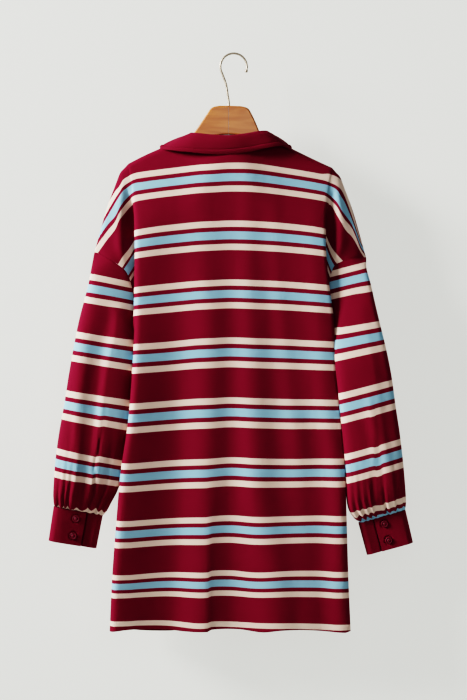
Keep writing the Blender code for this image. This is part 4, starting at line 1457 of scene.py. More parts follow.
@dataclass
class Panels:
    """Front and back of the dress's body."""

    form: DressForm = field(default_factory=DressForm)
    stripes: StripeMap = field(default_factory=StripeMap)
    wall: float = 1.4
    top_reach: float = 14.0
    top_rows: int = 9
    arm_rows: int = 62
    lower_rows: int = 86
    hem_reach: float = 30.0
    hem_rows: int = 15
    body_columns: int = 46
    middle_columns: int = 4
    strip_columns: int = 36
    gathering: float = 1.5
    lobe_folds: tuple[tuple[float, float, float, float], ...] = (
        (201.0, 10.0, 9.0, 4.2), (224.0, 11.0, 12.0, -2.4))
    lobe_starts: float = 0.16
    lobe_ends: Pair = (0.72, 0.98)
    lobe_flat_from: float = 0.82
    blend_across: Pair = (0.06, 0.4)
    blend_below: float = 145.0
    hem_rows_at: Pair = (9.7, 12.3)
    thread_lift: float = 0.1

    def downs(self) -> Array:
        """Shares of the way from shoulder to hem of every row.

        Returns:
            The shares, from 0 at the shoulder to 1 at the hem.
        """
        fall = self.form.hem - self.form.edge_top
        top = self.top_reach / fall * stops((0.0, 1.0, self.top_rows)) ** 2
        low = 1.0 - self.hem_reach / fall
        rest = stops((top[-1], self.form.under, self.arm_rows),
                     (self.form.under, low, self.lower_rows), (low, 1.0, self.hem_rows))
        return np.concatenate([top[:-1], rest])

    def half(self, face: Face, side: Side, creases: Creases) -> tuple[Array, Array]:
        """One half of a panel from its middle column outwards, with its courses.

        Args:
            face: front or back.
            side: left or right.
            creases: the panel's creases.

        Returns:
            Points by row and column, and the course at each.
        """
        form = self.form
        down = self.downs()
        start = form.slot_half
        shares = 1.0 - (1.0 - stops((0.0, 1.0, self.body_columns))) ** self.gathering
        drawn = form.fold_in(side, down)[:, None]
        edge_out = form.side_fold(down)[0][:, None] - drawn
        inner = stops((0.0, start, self.middle_columns))[:-1]
        out = np.concatenate([np.broadcast_to(inner, (len(down), len(inner))),
                              start + (edge_out - start) * shares], axis=1)
        top_out = np.concatenate([inner, start + (STRIPS["edge_out"][0] - start) * shares])
        body = form.body(face, side.value * out, top_out, down[:, None], creases, drawn)
        body = form.leaned(form.hemmed(face, body))
        across = stops((0.0, 1.0, self.strip_columns))[1:]
        strip = form.hemmed(face, form.strip(face, side, across, down))
        strip = form.leaned(self.lobed(face, strip, across, down))
        begin, end = self.blend_across
        joined = eased((across - begin) / (end - begin))[None, :]
        depth = form.depth(down)[:, None]
        joined = joined * (1.0 - eased((depth - form.underarm) / self.blend_below))
        course = np.concatenate([self.course(side, body, 0.0), self.course(side, strip, joined)], axis=1)
        return np.concatenate([body, strip], axis=1), course

    def course(self, side: Side, points: Array, least: Reals) -> Array:
        """Course at points on the body, by its own law and the dropped shoulder's.

        Args:
            side: left or right.
            points: points of the panel.
            least: least share of the dropped shoulder's law.

        Returns:
            The course at every point.
        """
        x, z = points[..., 0] - self.form.centre, points[..., 2]
        out = np.abs(x)
        lobe = np.maximum(least, self.stripes.spread(out, z))
        return self.stripes.on_body(x, z) * (1.0 - lobe) + self.stripes.on_lobe(side, out, z) * lobe

    def lobed(self, face: Face, strip: Array, across: Array, down: Array) -> Array:
        """The strip with its fold over the hanger's end and the trough beyond it.

        Args:
            face: front or back.
            strip: points of the strip by row and column.
            across: share across the strip of each column.
            down: share of the way from shoulder to hem of each row.

        Returns:
            The points, moved in y.
        """
        share = np.clip(down / self.form.under, 0.0, 1.0)[:, None]
        start, end = self.lobe_ends
        fade = eased(share / self.lobe_starts) * (1.0 - eased((share - start) / (end - start)))
        flat = (across[None, :] - self.lobe_flat_from) / (1.0 - self.lobe_flat_from)
        fade = fade * (1.0 - eased(flat))
        out = np.abs(strip[..., 0])
        rise = np.zeros(out.shape)
        for place, near, far, height in self.lobe_folds:
            rise = rise + height * bell(out - place, near, far)
        return strip + np.stack([0.0 * rise, face.value * rise * fade, 0.0 * rise], axis=-1)

    def cloth(self, face: Face, creases: Creases) -> Cloth:
        """The whole panel, from its left seam to its right seam.

        Args:
            face: front or back.
            creases: the panel's creases.

        Returns:
            The panel as a sheet.
        """
        left, left_course = self.half(face, Side.LEFT, creases)
        right, right_course = self.half(face, Side.RIGHT, creases)
        points = np.concatenate([left[:, ::-1], right[:, 1:]], axis=1)
        course = np.concatenate([left_course[:, ::-1], right_course[:, 1:]], axis=1)
        for end, inside in ((0, 1), (-1, -2)):
            points[:, end] += unit(points[:, inside] - points[:, end]) * 0.5 * self.form.seam_gap
        flat = np.stack([lay_flat(points), course * MM], axis=-1)
        return Cloth(points, flat, outward=-face.value)

    def armed(self) -> Array:
        """Which rows end at the armhole."""
        return self.downs() <= self.form.under + 1e-9

    def slot(self, cloth: Cloth) -> Array:
        """Faces that the placket's slot takes out of the front.

        Args:
            cloth: the front.

        Returns:
            A mark for every face of the sheet, true where it is cut out.
        """
        middle = cloth.points.shape[1] // 2
        rows, columns = cloth.points.shape[0] - 1, cloth.points.shape[1] - 1
        cut = np.zeros((rows, columns), bool)
        above = cloth.points[1:, middle, 2] > -self.form.slot_depth
        cut[above, middle - self.middle_columns:middle + self.middle_columns] = True
        return cut

    def build(self, finishes: Finishes, stitcher: StitchMaker) -> None:
        """Builds both panels and sews their hems.

        Args:
            finishes: the materials.
            stitcher: the maker of the hem's stitches.
        """
        self.back = self.cloth(Face.BACK, Creases(BACK_CREASES))
        self.front = self.cloth(Face.FRONT, Creases(FRONT_CREASES))
        self.front.left_out = self.slot(self.front)
        for name, cloth in (("back", self.back), ("front", self.front)):
            piece = cloth.build("dress_" + name, self.wall, finishes.jersey)
            keep(piece, Slot.JERSEY, name)
        paths = [cloth.above_foot(height, 0.5 * self.wall + self.thread_lift)
                 for height in self.hem_rows_at for cloth in (self.back, self.front)]
        sewn = stitcher.sew("hem_stitches", paths, finishes.thread, pitch=3.2, radius=0.3)
        keep(sewn, Slot.JERSEY)


def keep(piece: Obj, slot: Slot, *nodes: str) -> Obj:
    """Fixes a finished piece to the dress and reports it.

    Args:
        piece: the finished object.
        slot: the record's finish for it; not used.
        nodes: solids that it stands for.

    Returns:
        The same object.
    """
    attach(piece, BODY)
    if nodes:
        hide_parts(*nodes)
    LOG.info("%s: %d faces", piece.name, len(piece.data.polygons))
    return piece


# --- sleeves -------------------------------------------------------------------------
# Rings of the sleeves from below the armhole to the cuff: where the outer and the inner edge are,
# and half the depth.
RING_NAMES = "outer_out outer_z inner_out inner_z half_depth"
RINGS = {
    Side.LEFT: Table(
        RING_NAMES,
        (256, -397, 181, -522, 24),
        (261, -425, 182.5, -529, 26),
        (268, -462, 180, -541, 28),
        (278.5, -505, 181.5, -560, 30),
        (288, -548, 185, -587, 31),
        (297, -595, 188.5, -622, 32),
        (306, -650, 193, -671, 33),
        (315, -700, 197.5, -720, 34),
        (321.5, -750, 203.5, -769, 34),
        (324.5, -787, 212.5, -806, 32),
        (326, -812, 224.5, -831, 26),
        (325.5, -827, 232, -845.5, 18)),
    Side.RIGHT: Table(
        RING_NAMES,
        (250.5, -397, 181, -522, 24),
        (258, -425, 182.5, -529, 26),
        (266, -462, 182.5, -541, 28),
        (276, -505, 185.5, -560, 30),
        (286, -548, 189, -587, 31),
        (295, -595, 193, -622, 32),
        (302.5, -650, 197.5, -673, 33),
        (310, -700, 202.5, -723, 34),
        (316, -750, 207.5, -773, 34),
        (320, -790, 210, -812, 32),
        (322.3, -817, 215, -840, 26),
        (322.6, -832, 225.5, -856, 18)),
}

# How each sleeve and its cuff stand off the dress's middle plane: how far nearer, how much more
# so at the outer end than in the middle, and how much the outer end bends back past a place.
STANDS = {Side.LEFT: (0.0, 9.5, 15.0), Side.RIGHT: (13.0, -1.0, 5.0)}
BENT_FROM = 0.45


def standing(side: Side, across: Array, turn: float = 1.0) -> Array:
    """How far a sleeve or its cuff stands off the dress's middle plane.

    Args:
        side: left or right.
        across: places across it, from -1 at its inner end to 1 at its outer end.
        turn: share of the turn and the bend that it has.

    Returns:
        The shift in y at every place.
    """
    near, turned, bent = STANDS[side]
    return near + turn * (turned * across - bent * np.maximum(0.0, across - BENT_FROM) ** 2)


# How square the sleeve's section is at its outer and at its inner edge.
SQUARES = {Side.LEFT: (3.6, 7.0), Side.RIGHT: (8.0, 5.0)}

# First line of each stripe group on the sleeves: its height at the sleeve's outer edge, and
# how steeply it falls towards the body.
SLEEVE_LINES = {
    Side.LEFT: Table(
        "outer_z tilt",
        (-405.8, 0.22),
        (-512.9, 0.18),
        (-620.1, 0.155),
        (-726, 0.19),
        (-832, 0.12)),
    Side.RIGHT: Table(
        "outer_z tilt",
        (-384.3, 0.25),
        (-493.1, 0.215),
        (-600.3, 0.26),
        (-707.8, 0.28),
        (-813.7, 0.29)),
}

# Long folds of the sleeves' backs: place across the back from the outer edge (0) to the inner
# edge (1), reach towards either edge, and height.
FOLD = "depth place outer inner rise"
SLEEVE_FOLDS = {
    Side.LEFT: (
        Table(FOLD, (440, 0.66, 0.16, 0.30, 0), (488, 0.64, 0.11, 0.32, 4.5),
              (521, 0.635, 0.105, 0.36, 6.2), (570, 0.605, 0.085, 0.45, 6.8),
              (603, 0.60, 0.07, 0.60, 7.2), (693, 0.595, 0.055, 0.45, 6.4),
              (785, 0.60, 0.05, 0.16, 4.2), (840, 0.60, 0.05, 0.06, 2)),
        Table(FOLD, (425, 0.02, 0.12, 0.20, 0), (487, 0.075, 0.11, 0.24, 4.6),
              (595, 0.205, 0.13, 0.13, 5.2), (650, 0.235, 0.09, 0.12, 4.6),
              (704, 0.27, 0.065, 0.12, 4.4), (795, 0.34, 0.12, 0.08, 3.2),
              (840, 0.34, 0.06, 0.06, 2.2)),
        Table(FOLD, (600, 0.66, 0.03, 0.03, 0), (690, 0.63, 0.025, 0.018, -0.8),
              (734, 0.612, 0.02, 0.016, -4), (756, 0.59, 0.02, 0.016, -4),
              (811, 0.66, 0.02, 0.018, -3.6), (845, 0.64, 0.018, 0.018, -2.4))),
    Side.RIGHT: (
        Table(FOLD, (440, 0.28, 0.16, 0.50, 0), (500, 0.32, 0.14, 0.50, 2.2),
              (594, 0.34, 0.13, 0.50, 3.2), (693, 0.33, 0.11, 0.16, 3.4),
              (790, 0.26, 0.08, 0.10, 2.6), (845, 0.28, 0.05, 0.06, 1.6)),
        Table(FOLD, (600, 0.48, 0.07, 0.07, 0), (693, 0.46, 0.07, 0.075, 2.2),
              (760, 0.53, 0.05, 0.05, 1), (794, 0.57, 0.03, 0.03, -2.6),
              (850, 0.57, 0.02, 0.02, -2.4))),
}

# Where a pleat makes the courses step: from one place to another, and by how much.
STEPS = {Side.LEFT: (0.62, 1.0, 3.2), Side.RIGHT: (0.38, 0.51, -2.2)}

# Gathers above the cuffs: place round the sleeve (0 to 1 along the back from its outer to
# its inner edge, 1 to 2 along the front), reach to either side, height at the cuff, and how
# far up they run.
GATHER_NAMES = "place before after rise reach"
GATHERS = {
    Side.LEFT: Table(
        GATHER_NAMES,
        (0.045, 0.018, 0.018, 1.6, 40),
        (0.10, 0.016, 0.016, -2, 50),
        (0.155, 0.024, 0.018, 2.6, 75),
        (0.205, 0.014, 0.014, -2, 50),
        (0.235, 0.014, 0.014, 1.8, 50),
        (0.28, 0.02, 0.02, -2.8, 70),
        (0.345, 0.026, 0.016, 2.6, 80),
        (0.39, 0.016, 0.016, 1.8, 45),
        (0.455, 0.03, 0.03, -2, 60),
        (0.55, 0.03, 0.03, 1.2, 50),
        (0.66, 0.014, 0.014, -2.6, 40),
        (0.72, 0.02, 0.02, 2, 45),
        (0.80, 0.024, 0.022, -3.6, 90),
        (0.86, 0.018, 0.018, 2, 50),
        (0.91, 0.016, 0.016, -2, 45),
        (0.955, 0.018, 0.018, 2, 50)),
    Side.RIGHT: Table(
        GATHER_NAMES,
        (0.05, 0.02, 0.02, -1.8, 45),
        (0.17, 0.02, 0.02, -1.6, 45),
        (0.215, 0.016, 0.016, 1.8, 45),
        (0.33, 0.018, 0.018, 1.8, 50),
        (0.38, 0.012, 0.012, -3, 60),
        (0.47, 0.016, 0.016, -1.6, 35),
        (0.62, 0.02, 0.02, 2.2, 60),
        (0.67, 0.016, 0.016, -2.2, 45),
        (0.72, 0.02, 0.02, 2.2, 55),
        (0.78, 0.018, 0.018, -2.4, 60),
        (0.83, 0.018, 0.018, 2.2, 50),
        (0.885, 0.016, 0.016, -2.4, 55),
        (0.94, 0.018, 0.018, 2, 50)),
}


@dataclass(frozen=True)
class CuffCorners:
    """Corners of a cuff as (out, z): its top and foot, on their outer and inner ends."""

    top_outer: Pair
    top_inner: Pair
    foot_outer: Pair
    foot_inner: Pair


CUFFS = {
    Side.LEFT: CuffCorners((325.0, -835.0), (237.0, -853.0), (334.5, -898.0), (249.0, -914.0)),
    Side.RIGHT: CuffCorners((322.0, -841.0), (236.5, -864.5), (336.0, -901.0), (252.5, -923.5)),
}


@dataclass
class Sleeve:
    """Full sleeve from the armhole to the cuff."""

    side: Side
    panels: Panels
    wall: float = 1.4
    taper: float = 0.05
    stand_from: float = 500.0
    stand_over: float = 110.0
    turn_from: float = 700.0
    turn_over: float = 100.0
    turn_first: float = 0.5
    set_in: float = 45.0
    in_front_of_edge: Pair = (0.3, 2.0)
    aim_down: float = 0.4
    aim_turn: Pair = (0.7, 0.9)
    aim_more: float = 0.6
    gap: float = 0.3
    rows: int = 128
    row_crowding: float = 1.15
    gather_scale: float = 1.2
    gather_foot: float = 0.4
    gather_settle: float = 4.0
    gather_spread: float = 2.2
    gather_fall: float = 1.6
    fold_settle: float = 20.0
    course_pull: float = 0.9
    course_reach: float = 22.0
    cuff_depth: float = 11.0
    cuff_lift: float = 0.65
    cuff_in: float = 0.5
    hidden_gathers: int = 13
    first_group: int = 2
    step_width: float = 0.016
    step_from: float = 620.0
    step_fade: float = 90.0
    seed: int = 3
    area: float = 0.16

    def armhole(self, reach: float) -> Array:
        """Ring a little beyond the armhole's edge, from its top round the back.

        Args:
            reach: how far the ring lies beyond the armhole's edge.

        Returns:
            The ring's points.
        """
        end, inside = (0, 1) if self.side is Side.LEFT else (-1, -2)
        armed = self.panels.armed()
        downs = self.panels.downs()[armed] / self.panels.form.under
        start, stop = self.aim_turn
        turned = eased((downs - start) / (stop - start))[:, None]
        halves = []
        for cloth in (self.panels.back, self.panels.front):
            edge = cloth.points[armed, end]
            along = unit(edge - cloth.points[armed, inside])
            aim = along * (1.0 - turned) + turned * (self.side.value, 0.0, -self.aim_down)
            halves.append(edge + aim * (reach + self.aim_more * turned))
        back, front = halves
        top = (back[0] + front[0]) / 2.0
        corner = self.panels.back.points[armed, end][-1]
        aside = self.wall + self.gap + self.aim_more * reach
        foot = corner + (self.side.value * aside, 0.0, -reach)
        foot[1] = 0.0
        return np.concatenate([[top], back[1:-1], [foot], front[1:-1][::-1]])

    def ring(self, row: dict[str, float], turn: Array) -> Array:
        """Points of a tilted ring at turns from its outer end.

        Args:
            row: the ring's outer and inner places and its half depth.
            turn: turns round it, from its outer end.

        Returns:
            The ring's points.
        """
        across = np.cos(turn)
        outer, inner = SQUARES[self.side]
        square = np.where(across > 0.0, outer, inner)
        flat = np.maximum(0.0, 1.0 - np.abs(across) ** square)
        deep = np.sign(np.sin(turn)) * flat ** (1.0 / square)
        deep = deep * (1.0 - self.taper * np.maximum(0.0, -across) ** 2)
        out, z = ((row["outer" + part] + row["inner" + part]) / 2
                  + across * (row["outer" + part] - row["inner" + part]) / 2 for part in ("_out", "_z"))
        form = self.panels.form
        shift = form.sway(-row["inner_z"]) * (0.5 - 0.5 * across)
        low = eased((-row["inner_z"] - self.stand_from) / self.stand_over)
        late = float(eased((-row["inner_z"] - self.turn_from) / self.turn_over))
        late = self.turn_first + (1.0 - self.turn_first) * late
        y = deep * row["half_depth"] + low * standing(self.side, across, late)
        return np.stack([self.side.value * out + form.centre + shift, y, z], axis=-1)

    def turns(self, first: Array) -> Array:
        """Turns of the columns, spread as the armhole's points are.

        Args:
            first: the ring at the armhole.

        Returns:
            A turn for each column.
        """
        reach = walked(first[:np.count_nonzero(self.panels.armed())])
        back = math.pi * reach / reach[-1]
        return np.concatenate([back, 2 * math.pi - back[1:-1][::-1]])

    def last_ring(self) -> dict[str, float]:
        """The ring just above the cuff's top edge.

        Returns:
            The ring's sizes, by the names of the rings' columns.
        """
        corners = CUFFS[self.side]
        lift = self.cuff_lift * self.wall + self.gap
        return {"outer_out": corners.top_outer[0] - self.cuff_in, "outer_z": corners.top_outer[1] + lift,
                "inner_out": corners.top_inner[0] + self.cuff_in, "inner_z": corners.top_inner[1] + lift,
                "half_depth": self.cuff_depth}

    def gathers(self) -> Array:
        """Gathers as rows of place, before, after, rise and reach, hidden ones among them.

        Returns:
            The rows, with the seen gathers first.
        """
        shown = np.array([list(row.values()) for row in GATHERS[self.side].rows()])
        rng = np.random.default_rng(self.seed)
        hidden = []
        for k in range(self.hidden_gathers):
            place = 1.0 + (k + 0.5 + rng.uniform(-0.25, 0.25)) / self.hidden_gathers
            width = rng.uniform(0.014, 0.026)
            rise = rng.uniform(1.4, 2.8) * (1.0 if k % 2 else -1.0)
            hidden.append((place, width, width, rise, rng.uniform(45.0, 95.0)))
        return np.concatenate([shown, np.array(hidden)])

    def gathered(self, place: Array, above: Array) -> Array:
        """Height of the gathers at places round the sleeve and distances above the cuff.

        Args:
            place: places round the sleeve.
            above: distances above the cuff.

        Returns:
            How far the cloth stands out there.
        """
        total = np.zeros(np.broadcast(place, above).shape)
        for spot, before, after, rise, reach in self.gathers():
            away = (place - spot + 1.0) % 2.0 - 1.0
            wider = 1.0 + above / (self.gather_spread * reach)
            fall = np.exp(-(above / reach) ** self.gather_fall)
            total = total + rise * bell(away, before * wider, after * wider) * fall
        return total

    def folded(self, place: Array, depth: Array) -> Array:
        """Height of the long folds at places round the sleeve and depths.

        Args:
            place: places round the sleeve.
            depth: their depths.

        Returns:
            How far the cloth stands out there.
        """
        total = np.zeros(depth.shape)
        for table in SLEEVE_FOLDS[self.side]:
            away = place - table.at("place", depth)
            outer, inner, rise = (table.at(name, depth) for name in ("outer", "inner", "rise"))
            total = total + rise * bell(away, outer, inner)
        return total

    def cloth(self) -> Cloth:
        """The sleeve as rows of rings.

        Returns:
            The sleeve as a sheet that closes round itself.
        """
        first, second = (self.armhole(reach) for reach in self.in_front_of_edge)
        turn = self.turns(first)
        rings = [self.ring(row, turn) for row in RINGS[self.side].rows() + [self.last_ring()]]
        controls = np.stack([first, second] + rings)
        lengths = np.linalg.norm(np.diff(controls, axis=0), axis=-1).mean(axis=1)
        places = np.concatenate([[0.0], np.cumsum(lengths)])
        wanted = places[-1] * (1.0 - (1.0 - stops((0.0, 1.0, self.rows))) ** self.row_crowding)
        points = through(places, controls, wanted)
        sheet = Cloth(points, points[..., :2], around=True, outward=self.side.value)
        across = np.cos(turn)
        place = np.where(turn <= math.pi, (1.0 - across) / 2.0, 1.0 + (1.0 + across) / 2.0)
        above = (places[-1] - wanted)[:, None]
        course = self.course(points, place)
        gathered = self.gather_scale * self.gathered(place[None, :], above)
        settled = self.gather_foot + (1.0 - self.gather_foot) * eased(above / self.gather_settle)
        kept = eased(above / self.fold_settle) * eased(wanted / self.set_in)[:, None]
        rise = gathered * settled + self.folded(place[None, :], -points[..., 2]) * kept
        points = points + sheet.normals() * rise[..., None]
        course = course - self.course_pull * gathered * np.exp(-above / self.course_reach)
        around = np.concatenate([points, points[:, :1]], axis=1)
        course = np.concatenate([course, course[:, :1]], axis=1)
        flat = np.stack([lay_flat(around), course * MM], axis=-1)
        return Cloth(points, flat, around=True, outward=sheet.outward)

    def course(self, points: Array, place: Array) -> Array:
        """Course of the knit at every point, with its step at the pleat.

        Args:
            points: the sleeve's points by row and column.
            place: place round the sleeve of each column.

        Returns:
            The course at every point.
        """
        form, stripes = self.panels.form, self.panels.stripes
        out = np.abs(points[..., 0] - form.centre)
        inward = out.max(axis=1, keepdims=True) - out
        lines = SLEEVE_LINES[self.side].rows()
        heights = np.stack([line["outer_z"] - line["tilt"] * inward for line in lines])
        courses = stripes.courses[self.first_group:][:len(lines)]
        course = read_lines(heights, courses, points[..., 2])
        first, last, step = STEPS[self.side]
        inside = eased((place - first) / self.step_width + 0.5)
        inside = inside * eased((last - place) / self.step_width + 0.5)
        even = place if last == 1.0 else 0.0 * place
        on_back = place <= 1.0
        low = eased((-points[..., 2] - self.step_from) / self.step_fade)
        return course + step * np.where(on_back, inside - even, 0.0) * low

    def build(self, finishes: Finishes) -> None:
        """Builds the sleeve.

        Args:
            finishes: the materials.
        """
        name = "sleeve_" + self.side.name.lower()
        piece = self.cloth().build("knit_" + name, self.wall, finishes.jersey)
        keep(piece, Slot.JERSEY, name)


# --- cuffs and buttons ---------------------------------------------------------------
@dataclass
class Cuff:
    """Double band that closes round the wrist with a lap and two buttons."""

    side: Side
    centre: float = 7.0
    wall: float = 2.0
    radius: float = 11.0
    lap: float = 0.66
    underlap: float = 30.0
    ply_step: float = 4.4
    ply_split: float = 1.5
    rise_end: float = 1.07
    inset: float = 17.0
    tall: float = 62.0
    button_heights: Pair = (0.22, 0.73)
    seam_gap: float = 0.3
    groove: float = 3.4
    groove_reach: float = 1.7
    dimple: float = 1.6
    dimple_ring: float = 7.6
    dimple_reach: float = 1.3
    columns: tuple[int, int, int, int] = (24, 46, 110, 130)
    fine_reach: Pair = (3.0, 4.0)
    rows: int = 60

    def band(self) -> float:
        """Length of the band along one face of the cuff."""
        corners = CUFFS[self.side]
        return math.dist(corners.top_outer, corners.top_inner) - 2.0 * self.radius + math.pi * self.radius

    def point(self, share: Array, height: Array, lift: Array) -> Array:
        """Points on the band.

        Args:
            share: 0 to 1 along the back from the outer to the inner end, 1 to 2 along the front.
            height: 0 at the top edge, 1 at the foot.
            lift: distance out from the band's middle.

        Returns:
            The points, with x, y and z as the last axis.
        """
        corners = CUFFS[self.side]
        outer, inner = (np.array(top) + height[..., None] * (np.array(foot) - np.array(top))
                        for top, foot in ((corners.top_outer, corners.foot_outer),
                                          (corners.top_inner, corners.foot_inner)))
        middle = (outer + inner) / 2.0
        half = (outer - inner) / 2.0
        length = np.linalg.norm(half, axis=-1)
        straight = length - self.radius
        lap = 2.0 * straight + math.pi * self.radius
        along = (share * lap - 0.5 * math.pi * self.radius) % (2.0 * lap)
        swept = self.radius + lift
        inner_turn = (along - 2.0 * straight) / self.radius
        outer_turn = (along - lap - 2.0 * straight) / self.radius
        on_back = along < 2.0 * straight
        on_inner = along < lap
        on_front = along < lap + 2.0 * straight
        across = np.select([on_back, on_inner, on_front],
                           [straight - along, -straight - swept * np.sin(inner_turn),
                            -straight + (along - lap)], straight + swept * np.sin(outer_turn))
        deep = np.select([on_back, on_inner, on_front],
                         [swept, swept * np.cos(inner_turn), -swept], -swept * np.cos(outer_turn))
        place = middle + half / length[..., None] * across[..., None]
        deep = deep + standing(self.side, across / length)
        return np.stack([self.side.value * place[..., 0] + self.centre, deep, place[..., 1]], axis=-1)

    def button_share(self) -> float:
        """Share along the back at which the buttons sit."""
        return self.lap - self.inset / self.band()

    def cloth(self) -> Cloth:
        """The band, from its under end to its lap edge.

        Returns:
            The band as a sheet.
        """
        band = self.band()
        under = self.lap - self.underlap / band
        before, after = (reach * self.groove_reach / band for reach in self.fine_reach)
        first, past = self.lap - before, self.lap + after
        few, fine, front, back = self.columns
        share = stops((under, first, few), (first, past, fine), (past, 2.0, front),
                      (2.0, 2.0 + self.lap, back))[None, :]
        height = stops((0.0, 1.0, self.rows))[:, None]
        risen = eased((share - self.lap) / (self.rise_end - self.lap))
        groove = self.groove * np.exp(-((share - self.lap) * band / self.groove_reach) ** 2)
        upper_ply = share > self.ply_split
        lift = -self.ply_step * (1.0 - risen) - np.where(upper_ply, 0.0, groove)
        for place in self.button_heights:
            away = np.hypot((share - 2.0 - self.button_share()) * band, (height - place) * self.tall)
            ring = np.exp(-((away - self.dimple_ring) / self.dimple_reach) ** 2)
            lift = lift - self.dimple * np.where(upper_ply, ring, 0.0)
        share, height, lift = np.broadcast_arrays(share, height, lift)
        points = self.point(share, height, lift)
        flat = np.stack([share * band * MM, height * self.tall * MM], axis=-1)
        return Cloth(points, flat, outward=-self.side.value)

    def build(self, finishes: Finishes) -> None:
        """Builds the band and its two buttons.

        Args:
            finishes: the materials.
        """
        label = self.side.name.lower()
        cloth = self.cloth()
        piece = cloth.build("band_cuff_" + label, self.wall, finishes.band)
        keep(piece, Slot.BAND, "cuff_" + label)
        for number, height in enumerate(self.button_heights, 1):
            lift = np.array(0.5 * self.wall + self.seam_gap)
            place = self.point(np.array(self.button_share()), np.array(height), lift)
            Button(f"cuff_button_{label}_{number}", place, Face.BACK).build(finishes)


@dataclass
class Button:
    """Turned button with a raised rim and a dome, which faces the back or the front."""

    node: str
    place: Array
    face: Face
    radius: float = 6.5
    height: float = 3.2
    sides: int = 40
    fine: int = 4
    profile: Table = Table(
        "radius height",
        (0, 1), (0.15, 0.99), (0.29, 0.93), (0.40, 0.80), (0.48, 0.62), (0.55, 0.53),
        (0.63, 0.52), (0.70, 0.64), (0.77, 0.74), (0.85, 0.77), (0.93, 0.68), (0.98, 0.52),
        (1, 0.36), (0.98, 0.16), (0.92, 0))

    def build(self, finishes: Finishes) -> Obj:
        """Turns the profile and closes its foot.

        Args:
            finishes: the materials.

        Returns:
            The button, fixed to the dress.
        """
        work = bmesh.new()
        sweep = np.linspace(0.0, 2 * math.pi, self.sides, endpoint=False)
        count = self.profile.count
        shares = np.linspace(0.0, 1.0, (count - 1) * self.fine + 1)
        radii = self.profile.along("radius", shares) * self.radius
        heights = self.profile.along("height", shares) * self.height
        rings = []
        for radius, height in zip(radii[1:], heights[1:]):
            spots = [(radius * math.cos(a), self.face.value * height, radius * math.sin(a)) for a in sweep]
            rings.append([work.verts.new((self.place + spot) * MM) for spot in spots])
        following = [(k, (k + 1) % self.sides) for k in range(self.sides)]
        for inner, outer in zip(rings, rings[1:]):
            for k, n in following:
                work.faces.new((inner[k], outer[k], outer[n], inner[n]))
        top = work.verts.new((self.place + (0.0, self.face.value * self.height, 0.0)) * MM)
        for k, n in following:
            work.faces.new((top, rings[0][k], rings[0][n]))
        work.faces.new(rings[-1])
        bmesh.ops.recalc_face_normals(work, faces=work.faces)
        data = bpy.data.meshes.new(self.node)
        work.to_mesh(data)
        work.free()
        data.shade_smooth()
        obj = dress(link(bpy.data.objects.new("turned_" + self.node, data)), finishes.button)
        return keep(obj, Slot.BUTTON, self.node)


# --- collar --------------------------------------------------------------------------
# Stations from the middle of the back round to the front edge, the last ones on the front: where
# the stand meets the neck edge, the fold where it turns into the leaf, and the leaf's lower
# edge. The fold and the edge have a place of their own on either side.
COLLAR = Table(
    "on_front neck_out fold_y leaf_y left_fold_out left_fold_z left_leaf_out left_leaf_z "
    "right_fold_out right_fold_z right_leaf_out right_leaf_z",
    (0, 0, 30.5, 29.5, 0, -153.9, 0, -187.4, 0, -153.9, 0, -187.4),
    (0, 30, 29.5, 29.5, 30, -153.6, 36, -188.4, 30, -149.8, 36, -182.2),
    (0, 58, 25.5, 28.5, 56, -151, 78, -185.2, 55, -144.4, 70, -174.4),
    (0, 75, 18, 22, 70, -149, 108, -182.2, 66, -142.8, 95, -170.6),
    (0, 80, 10, 11, 73, -149, 126, -178.8, 69.5, -143.4, 111, -175.4),
    (0, 82.3, 0, 1, 74, -150, 129.5, -173.8, 71, -145, 113, -169.8),
    (1, 76.5, -13, -20, 71, -155, 126, -188, 69, -151.5, 113, -183),
    (1, 64, -24.5, -38, 60, -169, 114, -222, 59.5, -168.5, 107, -220),
    (1, 44, -34, -45, 42, -197, 94, -262, 42, -197, 91, -261),
    (1, 19, -41.5, -49.5, 19, -224, 58, -302, 19, -224, 58, -302))


